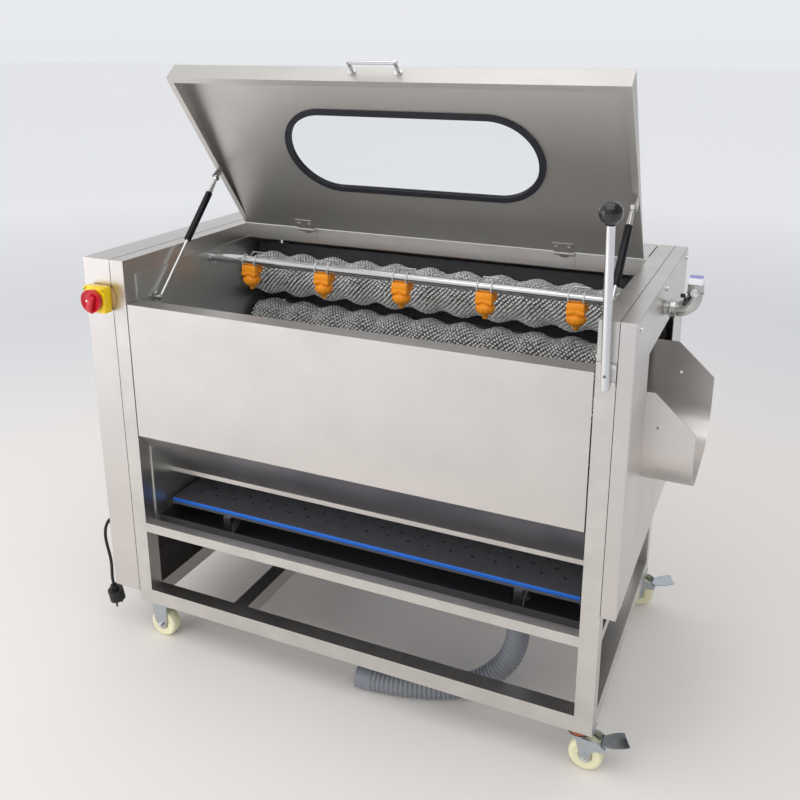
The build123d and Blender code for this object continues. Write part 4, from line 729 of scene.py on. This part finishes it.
def tufts(centre, seed):
    """All tufts of a roller: five-sided rods from the core out to the wave, in rows that wind round the roller.

    Each ring is turned on by row_turn, so neighbours nearly touch along a row and a gap is left between rows.
    A tuft's ends are centre + d (core + reach k) + r_k (cos a tangent + sin a axis), with k = 0 and 1."""
    s = sizes()
    sides = 5
    per_ring = 24
    row_turn = 0.387 * FULL_TURN / per_ring
    brush_length = 2 * ROLLER_HALF * MM
    ring_count = int(brush_length / s.tuft_pitch)
    ring, place = np.meshgrid(np.arange(ring_count), np.arange(per_ring), indexing="ij")
    ring, place = ring.ravel(), place.ravel()
    count = len(ring)
    draw = np.random.default_rng(seed)
    along = (ring + 0.5) * brush_length / ring_count
    turn = FULL_TURN * place / per_ring - ring * row_turn + draw.normal(0, 0.008, count)
    lean_x = draw.normal(0, 0.02, count)
    lean_t = draw.normal(0, 0.02, count)
    tip_radius = brush_shape(along) - np.abs(draw.normal(0, 0.6 * MM, count))
    none = np.zeros(count)
    radial = np.stack((none, np.cos(turn), np.sin(turn)), axis=-1)
    tangent = np.stack((none, -np.sin(turn), np.cos(turn)), axis=-1)
    axial = np.array((1.0, 0.0, 0.0))
    heading = radial + lean_x[:, None] * axial + lean_t[:, None] * tangent
    root_radius = s.core - 2 * MM
    root = centre + np.stack((along - ROLLER_HALF * MM, none, none), axis=-1) + radial * root_radius
    shares = np.array((0.0, 1.0))
    widths = s.tuft_radius * np.array((0.9, 1.3))
    a = np.arange(sides) * FULL_TURN / sides
    reach = (tip_radius - root_radius)[:, None, None, None] * shares[None, :, None, None]
    spread = (
        np.cos(a)[None, None, :, None] * tangent[:, None, None, :]
        + np.sin(a)[None, None, :, None] * axial[None, None, None, :]
    )
    points = root[:, None, None, :] + heading[:, None, None, :] * reach + spread * widths[None, :, None, None]
    first = np.arange(count)[:, None, None] * (2 * sides)
    quads = ring_faces(2, sides)[:, ::-1][None] + first
    tips = (sides + np.arange(sides))[::-1][None, None] + first
    tone = np.repeat(draw.random(count), 2 * sides)
    rise = np.tile(np.repeat(shares, sides), count)
    return (points.reshape(-1, 3), [quads.reshape(-1, 4), tips.reshape(-1, sides)]), rise, tone


class WASHER_OT_brushes(bpy.types.Operator):
    """Brush rollers: shaft, core and sprockets turned in one profile, with tufts cut to a wave"""

    bl_idname = "washer.brushes"
    bl_label = "Brush rollers"

    def execute(self, context):
        core, half = sizes().core / MM, ROLLER_HALF
        for number in range(1, 7):
            node, body = f"brush_roller_{number}", f"roller_{number}"
            centre = joint_place(f"roller_spin_{number}")
            centre[0] = placed((0, 0, 0))[0]
            left, right = ((corner[0] - centre[0]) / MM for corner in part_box(node))
            profile = [(left, 10)]
            # Roller 3 has a third sprocket, for the motor's chain
            for step in range(3 if number == 3 else 2):
                plane = left + 6 + SPROCKET_PITCH * step
                profile += [(plane + h, r) for h, r in SPROCKET]
            profile += [(-half, 10), (-half, core - 2), (2 - half, core), (half - 2, core), (half, core - 2)]
            profile += [(half, 10), (right, 10)]
            shaft = turned(profile, centre, ALONG)
            add_piece(f"roller_shaft_{number}", shaft, body, "brush", node, finish="roller_core", sharp=30)
            surface, rise, tone = tufts(centre, 40 + number)
            piece = add_piece(f"bristle_tufts_{number}", surface, body, "brush", sharp=50)
            for name, values in (("reach", rise), ("tone", tone)):
                layer = piece.data.attributes.new(name, "FLOAT", "POINT")
                layer.data.foreach_set("value", values.astype(np.float32))
        return {"FINISHED"}


def nozzle_saddle(x):
    """Saddle block, two slanted brows, two clamp ears, domed body and twelve grip ribs of one nozzle."""
    under = PIPE_HEIGHT - PIPE_RADIUS
    parts = [rounded_block(placed((x, 0, under - 10)), (21.5, 17, 12), 3.5, taper=0.97)]
    for side in (-1, 1):
        lean = math.radians(side * 14)
        axes = ((math.cos(lean), 0, math.sin(lean)), BACKWARD, (-math.sin(lean), 0, math.cos(lean)))
        parts.append(rounded_block(placed((x - side * 10.5, -2, under - 20)), (11, 16.4, 5), 2.5, axes))
    for side in (-1, 1):
        parts.append(rounded_block(placed((x + side * 22, 10, under - 12)), (3, 7, 6), 2))
    parts.append(turned(NOZZLE_DOME, placed((x, 0, under)), UP, 36))
    for step in range(12):
        turn = FULL_TURN * step / 12
        way = np.array((math.cos(turn), math.sin(turn)))
        axes = ((way[0], way[1], 0), (-way[1], way[0], 0), UP)
        spot = placed((x + 21.6 * way[0], 21.6 * way[1], under - 38))
        parts.append(rounded_block(spot, (1.8, 2.4, 4.6), 1.0, axes))
    return parts


def clip_rings(x):
    """Both wire rings of one nozzle's clip, round the pipe: y = R cos t, z = R sin t."""
    rings = []
    for spot_x in (x - 18, x + 18):
        around = [
            (spot_x, 15 * math.cos(t), PIPE_HEIGHT + 15 * math.sin(t)) for t in np.arange(28) * FULL_TURN / 28
        ]
        around = placed(around + around[:2])
        steps = np.linspace(0, path_length(around[:-1]), 29)[:-1]
        rings.append(tube_along(around, steps, np.full(28, 2.1 * MM), 10, ALONG, closed=True))
    return rings


class WASHER_OT_nozzles(bpy.types.Operator):
    """Orange nozzles: a ridged saddle block with its wire clip, a domed body and a tapered tip on its ball"""

    bl_idname = "washer.nozzles"
    bl_label = "Nozzles"

    def execute(self, context):
        places = [NOZZLE_PITCH * (number - 3) for number in range(1, 6)]
        wires = merged([ring for x in places for ring in clip_rings(x)])
        add_piece("clip_rings", wires, "frame", "pipe_steel", finish="clip_wire", sharp=60)
        blocks = merged([block for x in places for block in nozzle_saddle(x)])
        add_piece("nozzle_saddles", blocks, "frame", "orange_plastic", "nozzle_bodies")
        for number in range(1, 6):
            node = f"nozzle_tip_{number}"
            foot = middle(node)
            foot[2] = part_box(node)[0][2]
            tip = turned(NOZZLE_TIP, foot, UP, 28)
            add_piece(f"spray_tip_{number}", tip, f"tip_{number}", "orange_plastic", node)
        return {"FINISHED"}


class WASHER_OT_lever(bpy.types.Operator):
    """Ball knob of the gate's lever: a sphere on a short ferrule"""

    bl_idname = "washer.lever"
    bl_label = "Lever ball"

    def execute(self, context):
        low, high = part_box("lever_knob")
        centre = middle("lever_knob")
        radius = (high[0] - low[0]) / 2 / MM
        centre[2] = high[2] - radius * MM
        foot = low[2] / MM - centre[2] / MM
        turn = np.radians(np.linspace(-66, 90, 27)[:-1])
        profile = [(foot, 9.5), (-radius * 0.93, 9.5)]
        profile += [(radius * math.sin(a), radius * math.cos(a)) for a in turn]
        profile = sorted(p for p in profile if p[0] >= foot - 0.01)
        ball = turned(profile, centre, UP, 48)
        add_piece("ball_knob", ball, "gate", "black_ball", "lever_knob", sharp=60)
        return {"FINISHED"}


class WASHER_OT_switch(bpy.types.Operator):
    """Main switch: yellow body on a tan ring coloured as a painted reflection, dished red knob with its grip,
    white dot, plain ON and OFF
    """

    bl_idname = "washer.switch"
    bl_label = "Main switch"

    def execute(self, context):
        knob_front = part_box("switch_knob")[0][1]
        base_low, base_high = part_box("switch_base")
        front = base_low[1]
        centre = joint_place("switch_turn")
        centre[1] = front
        face = (front - knob_front) / MM
        back = np.array((centre[0], base_high[1], centre[2]))
        # The ring behind the switch is tan as a painted reflection of the yellow body in the steel
        ring = turned([(0, 32.5), (2.6, 32.5), (3.8, 31)], back + np.array((8 * MM, 0, 0)), FORWARD, 48)
        add_piece("switch_ring", ring, "frame", "yellow_plastic", finish="tan_plastic")
        body_middle = back + np.array((-1 * MM, -17 * MM, 0))
        body = rounded_block(body_middle, (31, 32, 13), 3, (ALONG, UP, FORWARD))
        add_piece("switch_body", body, "frame", "yellow_plastic", "switch_base")
        # The grip stands on the dish, 9 mm out, and points down past its rim
        dish = turned(SWITCH_DISH, centre, FORWARD, 56)
        lean = math.radians(-14)
        axes = ((math.cos(lean), 0, math.sin(lean)), (-math.sin(lean), 0, math.cos(lean)), FORWARD)
        grip_centre = centre + np.array((0, -(9 + face) / 2 * MM, -8 * MM))
        grip = rounded_block(grip_centre, (9.5, 25, (face - 9) / 2 - 0.2), 4, axes, taper=0.66)
        add_piece("switch_handle", merged([dish, grip]), "main_switch", "red_plastic", "switch_knob")
        spot = centre + np.array((-15.5 * MM, -9.4 * MM, -2 * MM))
        dot = turned([(0, 2.6), (0.4, 2.6)], spot, FORWARD, 20)
        add_piece("switch_dot", dot, "main_switch", "white_plastic", sharp=35)
        for word, x, z, turn in (("ON", 26, 26, -0.78), ("OFF", -25.5, 25.5, 0.78)):
            data = bpy.data.curves.new(f"word_{word}", "FONT")
            data.body = word
            data.size = 7 * MM
            data.extrude = 0.15 * MM
            data.align_x = data.align_y = "CENTER"
            holder = bpy.data.objects.new(f"word_{word}", data)
            bpy.context.scene.collection.objects.link(holder)
            mesh, flat = mesh_of(holder)
            bpy.data.objects.remove(holder)
            # The word's x and y are turned on the switch's face, and its thickness goes forward
            right = flat[:, 0] * math.cos(turn) - flat[:, 1] * math.sin(turn)
            up = flat[:, 0] * math.sin(turn) + flat[:, 1] * math.cos(turn)
            spot = (centre[0] + x * MM, front - 0.1 * MM, centre[2] + z * MM)
            points = np.stack((spot[0] + right, spot[1] - flat[:, 2], spot[2] + up), axis=-1)
            mesh.vertices.foreach_set("co", points.ravel())
            mesh.update()
            mesh.materials.clear()
            mesh.materials.append(FINISHES["mark_black"])
            piece = bpy.data.objects.new(f"word_{word.lower()}", mesh)
            bpy.context.scene.collection.objects.link(piece)
            dress(piece, "frame", "plug_black")
        return {"FINISHED"}


def fork_cheeks(outline, axle):
    """Both side plates of a castor fork: 3 mm sheet, 1.5 mm clear of the wheel."""
    return [slab(outline, 3, axle + np.array((0, near * MM, 0)), ALONG, UP) for near in (-17.5, 20.5)]


def pedal_spoon():
    """Points of the spoon: x grows with u, more at the front edge (v = -1), and z rises as u^1.2 and v^2."""
    u, v = np.meshgrid(np.linspace(0, 1, 13), np.linspace(-1, 1, 11), indexing="ij")
    width = v * (16 + 7 * np.sin(np.pi * np.minimum(u, 0.55) / 1.1)) * (1 - 0.22 * u**8)
    return np.stack((-2 + (51 - 9 * v) * u, width, 7 + 19 * u**1.2 + 2.5 * v**2), axis=-1) * MM


class WASHER_OT_castors(bpy.types.Operator):
    """Castors: crowned wheels, pressed forks with rounded cheeks, axle bolts, swivel races and spoon pedals"""

    bl_idname = "washer.castors"
    bl_label = "Castors"

    def execute(self, context):
        wheel_profile = [(-h, r) for h, r in WHEEL_SIDE] + [(h, r) for h, r in reversed(WHEEL_SIDE[:-1])]
        fixed_cheek = [(-24, 58), (-22, 16)] + arc((0, 0), 13, 215, 345) + [(16.5, 8), (20, 58)]
        plates = []
        for name in ("front_left", "rear_left", "front_right", "rear_right"):
            axle = joint_place(f"wheel_spin_{name}")
            wheel = turned(wheel_profile, axle, BACKWARD, 64)
            add_piece(f"castor_wheel_{name}", wheel, f"roll_{name}", "nylon", f"wheel_{name}")
            bolt = [
                turned([(20.5, 7.6), (21.6, 7.6), (21.6, 6.8), (top, 6.8), (top + 0.6, 6)], axle, way, 6)
                for way, top in ((FORWARD, 26), (BACKWARD, 23.4))
            ]
            bolt.append(turned([(26, 4), (29.2, 4), (29.8, 3.2)], axle, FORWARD, 20))
            end, side = name.split("_")
            carrier = "frame" if side == "left" else f"castor_{end}"
            add_piece(f"axle_nuts_{name}", merged(bolt), carrier, "zinc", finish="bolt_steel", sharp=30)
            if side == "left":
                plates += fork_cheeks(fixed_cheek, axle)
                plates.append(rounded_block(axle + np.array((-2, 0, 57)) * MM, (22, 20.5, 1.5), 1))
                plates.append(rounded_block(axle + np.array((0, 0, 60.5)) * MM, (38, 22, 2), 0.8))
        swivel_cheek = (
            [(-27, 46), (-20, 37), (-11.5, 4)]
            + arc((0, 0), 12, 195, 345)
            + [(13, 14), (20, 22)]
            + arc((36, 30.5), 6.5, -100, 80, 7)
            + [(22, 46)]
        )
        for end in ("front", "rear"):
            pivot = joint_place(f"castor_swivel_{end}")
            pivot[2] = 0
            plates.append(rounded_block(pivot + np.array((0, 0, 98)) * MM, (34, 22, 2), 0.8))
            plates.append(turned([(88, 5.8), (96, 5.8)], pivot, UP, 24))
            seal = turned(SWIVEL_SEAL, pivot, UP, 48, closed=True)
            add_piece(f"dust_seal_{end}", seal, f"castor_{end}", "zinc", finish="dust_seal")
            pin = joint_place(f"pedal_press_{end}")
            fork = [turned(SWIVEL_CROWN, pivot, UP, 48, closed=True)]
            fork.append(turned([(-21, 2.9), (21, 2.9)], pin, BACKWARD, 20))
            fork += fork_cheeks(swivel_cheek, joint_place(f"wheel_spin_{end}_right"))
            node = f"swivel_fork_{end}"
            add_piece(f"castor_fork_{end}", merged(fork), f"castor_{end}", "zinc", node, sharp=35)
            hub = turned([(-15, 3.2), (-15, 7), (15, 7), (15, 3.2)], pin, BACKWARD, 24, closed=True)
            pedal = merged([thick_sheet(pin + pedal_spoon(), 2.5), hub])
            add_piece(f"spoon_pedal_{end}", pedal, f"pedal_{end}", "zinc", f"brake_pedal_{end}")
        add_piece("castor_mounts", merged(plates), "frame", "zinc", "castor_plates", sharp=35)
        return {"FINISHED"}


class WASHER_OT_struts(bpy.types.Operator):
    """Gas struts: bored black barrel, bored bright fitting that the rod runs in, and the eye on its neck"""

    bl_idname = "washer.struts"
    bl_label = "Struts"

    def execute(self, context):
        bore = 4.7
        for side in ("left", "right"):
            node, body = f"strut_barrel_{side}", f"strut_tube_{side}"
            foot = joint_place(f"strut_swing_{side}")
            axis = np.array(joint(f"strut_slide_{side}")["axis"])
            axis = axis * np.sign(axis[2]) / np.linalg.norm(axis)
            head_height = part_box(node)[1][2] - 8 * MM
            reach = (head_height - foot[2]) / axis[2] / MM
            top, fitting_top = reach - 49, reach - 21
            barrel = [(171, bore), (171, 8.3), (172, 8.9), (top - 1, 8.9), (top, 8), (top, bore)]
            tube = turned(barrel, foot, axis, 32, closed=True)
            add_piece(f"gas_barrel_{side}", tube, body, "black_gloss", node)
            fitting = [(top, bore), (top, 6.6), (top + 9, 6.6), (top + 10, 5.6)]
            fitting += [(fitting_top, 5.6), (fitting_top, bore)]
            neck = [(reach - 21.5, 5), (reach - 12, 5), (reach - 8, 4)]
            eye = [(-4.6, 5.5), (-4.6, 7.4), (-4, 8), (4, 8), (4.6, 7.4), (4.6, 5.5)]
            parts = [
                turned(fitting, foot, axis, 28, closed=True),
                turned(neck, foot, axis, 28),
                turned(eye, foot + axis * reach * MM, ALONG, 28),
            ]
            add_piece(f"strut_end_{side}", merged(parts), body, "strut_chrome", sharp=35)
        return {"FINISHED"}


class WASHER_OT_valve(bpy.types.Operator):
    """Cast skin of the inlet elbow with its end beads, the hex nut of the stem and the black handle bracket"""

    bl_idname = "washer.valve"
    bl_label = "Inlet valve"

    def execute(self, context):
        start, bend, height = 655, 37, PIPE_HEIGHT
        corner = [
            (start + bend * math.sin(a), 0, height + bend * (1 - math.cos(a)))
            for a in np.radians(np.linspace(0, 90, 25))
        ]
        line = placed([(start - 4, 0, height)] + corner + [(start + bend, 0, height + bend + 5)])
        steps = np.linspace(0, path_length(line), 40)
        along = steps / MM
        swell = 15.4 + 1.6 * np.sin(np.pi * along / along[-1])
        radii = np.where((along < 4.5) | (along > along[-1] - 4.5), 18.6, swell) * MM
        skin = [tube_along(line, steps, radii, 40, BACKWARD)]
        for x, radius, width in ((634, 17, 3), (638.5, 14.6, 2.4), (642, 19.4, 3.2)):
            ring = [(0, 12), (0, radius - 0.6), (0.6, radius)]
            ring += [(width - 0.6, radius), (width, radius - 0.6), (width, 12)]
            skin.append(turned(ring, placed((x, 0, height)), ALONG, closed=True))
        add_piece("elbow_skin", merged(skin), "frame", "cast_fitting", sharp=45)
        stem = placed((start + bend, 0, STEM_HEIGHT))
        nut = [turned([(12, 9.6), (19, 9.6), (20, 8.8)], stem, FORWARD, 6)]
        nut.append(turned([(20, 5), (23.5, 5), (24.5, 4)], stem, FORWARD, 24))
        add_piece("stem_nut", merged(nut), "frame", "bolt_steel", sharp=30)
        bracket = placed([(689, -18, 996), (682, -18, 993), (676, -18, 987), (672, -18, 979), (671, -18, 975)])
        steps = np.linspace(0, path_length(bracket), 14)
        rods = [
            tube_along(bracket, steps, np.full(14, 1.9 * MM), 12, BACKWARD),
            rounded_block(placed((669, -18, 996)), (5, 4, 4), 1.5),
            rounded_block(placed((673, -18, 990)), (1.8, 1.8, 6), 1.2),
        ]
        add_piece("handle_bracket", merged(rods), "frame", "plug_black")
        return {"FINISHED"}


class WASHER_OT_seams(bpy.types.Operator):
    """Joint lines where both covers meet the frame, on the front and on top, drawn black as painted shade in the
    gaps
    """

    bl_idname = "washer.seams"
    bl_label = "Joint lines"

    def execute(self, context):
        lines = []
        top = RIM - 1
        for x, foot in ((-COVER_X, 128), (COVER_X, 395)):
            upright = placed((x, -HALF_DEPTH, (foot + top) / 2))
            lines.append(rounded_block(upright, (0.7, 0.35, (top - foot) / 2), 0.2))
            lines.append(rounded_block(placed((x, 0, RIM)), (0.7, HALF_DEPTH, 0.35), 0.2))
        # The gaps are real; their black is painted shade
        add_piece("joint_gap_shade_lines", merged(lines), "frame", "plug_black", finish="mark_black")
        return {"FINISHED"}


class WASHER_OT_trims(bpy.types.Operator):
    """Small trims: blue tray edge, a dark sheet of painted shade behind the rollers, violet plate on the valve
    handle
    """

    bl_idname = "washer.trims"
    bl_label = "Trims"

    def execute(self, context):
        edge_height = sizes().edge_height
        low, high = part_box("sieve_tray")
        half = ((high[0] - low[0]) / 2 / MM - 1, 1.0, edge_height / MM / 2)
        centre = middle("sieve_tray")
        centre[1:] = low[1] + 0.4 * MM, high[2] - edge_height / 2 + 0.6 * MM
        add_piece("tray_edge", rounded_block(centre, half, 0.8), "tray", "tray_grey", finish="blue_edge")
        # Painted shade: a dark sheet on the back of the trough stands for the shadow behind the rollers
        wall = middle("rear_panel")
        wall[1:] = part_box("rear_panel")[0][1] - 0.3 * MM, TROUGH_HEIGHT * MM
        add_piece("shade_sheet_behind_rollers", rounded_block(wall, (546, 0.25, 84), 0.2), "frame", "pan_dark")
        top = middle("valve_knob")
        top[2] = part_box("valve_knob")[1][2] - 0.6 * MM
        plate = rounded_block(top, (14.6, 14.6, 0.9), 0.7)
        add_piece("valve_plate", plate, "water_valve", "white_plastic", finish="violet_plate")
        return {"FINISHED"}


class WASHER_OT_stage(bpy.types.Operator):
    """Pale floor, soft ceiling and window lights, and a pale surrounding"""

    bl_idname = "washer.stage"
    bl_label = "Stage"

    def execute(self, context):
        scene = context.scene
        scene.view_settings.view_transform = "Standard"
        half = sizes().floor_size / 2
        c = colours()
        mesh = bpy.data.meshes.new("floor")
        corners = [(-half, -half, 0), (half, -half, 0), (half, half, 0), (-half, half, 0)]
        mesh.from_pydata(corners, [], [(0, 1, 2, 3)])
        material, tree, shader, place = new_finish("pale_floor")
        clouds = add_node(tree, "ShaderNodeTexNoise", (place, 1.2, 3.0)).outputs["Fac"]
        near = add_node(tree, "ShaderNodeMix", (clouds, c.floor, shaded(c.floor, 0.97)), data_type="RGBA")
        # Warm near the machine, and cool where the room's walls would stand
        away = add_node(tree, "ShaderNodeVectorMath", (place,), operation="LENGTH").outputs["Value"]
        spread = add_node(
            tree, "ShaderNodeMapRange", (away, 1.5, 3.2, 0.0, 1.0), interpolation_type="SMOOTHSTEP"
        )
        middle_ground = add_node(tree, "ShaderNodeMix", (spread, near, c.mid_floor), data_type="RGBA")
        share = add_node(tree, "ShaderNodeMapRange", (away, 3.5, 7.0, 0.0, 1.0))
        ground = add_node(tree, "ShaderNodeMix", (share, middle_ground, c.far_floor), data_type="RGBA")
        set_inputs(tree, shader, {"Base Color": ground, "Roughness": 0.55, "Specular IOR Level": 0.25})
        mesh.materials.append(material)
        floor = bpy.data.objects.new("floor", mesh)
        scene.collection.objects.link(floor)
        for name, spot, aim, side, power, tone, mirrored in LAMPS:
            lamp = bpy.data.lights.new(name, "AREA")
            lamp.shape = "SQUARE"
            lamp.size = side
            lamp.energy = power
            lamp.color = tone
            holder = bpy.data.objects.new(name, lamp)
            holder.visible_glossy = mirrored
            holder.location = spot
            holder.rotation_euler = (Vector(aim) - Vector(spot)).to_track_quat("-Z", "Y").to_euler()
            scene.collection.objects.link(holder)
        world = bpy.data.worlds.new("pale_room")
        world.use_nodes = True
        scene.world = world
        tree = world.node_tree
        rays = add_node(tree, "ShaderNodeLightPath").outputs
        glossy = rays["Is Glossy Ray"]
        seen = add_node(
            tree, "ShaderNodeMath", (rays["Is Camera Ray"], rays["Is Transmission Ray"]), operation="MAXIMUM"
        )
        mirror = add_node(tree, "ShaderNodeMapRange", (glossy, 0.0, 1.0, ROOM_LIGHT, ROOM_MIRRORED))
        strength = add_node(tree, "ShaderNodeMapRange", (seen, 0.0, 1.0, mirror, ROOM_SEEN))
        way = add_node(tree, "ShaderNodeTexCoord").outputs["Generated"]
        parts = add_node(tree, "ShaderNodeSeparateXYZ", (way,)).outputs
        rise = add_node(tree, "ShaderNodeMapRange", (parts["Z"], 0.0, 0.35, 0.0, 1.0))
        sky = add_node(tree, "ShaderNodeMix", (rise, c.horizon, c.sky), data_type="RGBA")
        # In reflections the room's right side is dimmer than its left
        to_right = add_node(tree, "ShaderNodeMapRange", (parts["X"], 0.0, 0.6, 0.0, 1.0))
        dimming = add_node(tree, "ShaderNodeMath", (to_right, glossy), operation="MULTIPLY")
        sky = add_node(tree, "ShaderNodeMix", (dimming, sky, c.dim_side), data_type="RGBA")
        set_inputs(tree, tree.nodes["Background"], {"Color": sky, "Strength": strength})
        return {"FINISHED"}


STEPS = (
    WASHER_OT_view,
    WASHER_OT_finishes,
    WASHER_OT_hose,
    WASHER_OT_cable,
    WASHER_OT_brushes,
    WASHER_OT_nozzles,
    WASHER_OT_lever,
    WASHER_OT_switch,
    WASHER_OT_castors,
    WASHER_OT_struts,
    WASHER_OT_valve,
    WASHER_OT_seams,
    WASHER_OT_trims,
    WASHER_OT_stage,
)


class WASHER_PT_panel(bpy.types.Panel):
    """Lists the washer's pieces, sizes and colours"""

    bl_idname = "WASHER_PT_panel"
    bl_label = "Roller vegetable washer"
    bl_space_type = "VIEW_3D"
    bl_region_type = "UI"
    bl_category = "Washer"

    def draw(self, context):
        for step in STEPS:
            self.layout.operator(step.bl_idname)
        for group in (context.scene.washer_sizes, context.scene.washer_colours):
            for name in group.bl_rna.properties.keys():
                if name not in ("rna_type", "name"):
                    self.layout.prop(group, name)


CLASSES = (WasherSizes, WasherColours, *STEPS, WASHER_PT_panel)


def register():
    for item in CLASSES:
        bpy.utils.register_class(item)
    bpy.types.Scene.washer_sizes = bpy.props.PointerProperty(type=WasherSizes)
    bpy.types.Scene.washer_colours = bpy.props.PointerProperty(type=WasherColours)


def unregister():
    del bpy.types.Scene.washer_colours
    del bpy.types.Scene.washer_sizes
    for item in reversed(CLASSES):
        bpy.utils.unregister_class(item)


def main():
    register()
    for step in STEPS:
        family, name = step.bl_idname.split(".")
        getattr(getattr(bpy.ops, family), name)()


if __name__ == "__main__":
    main()
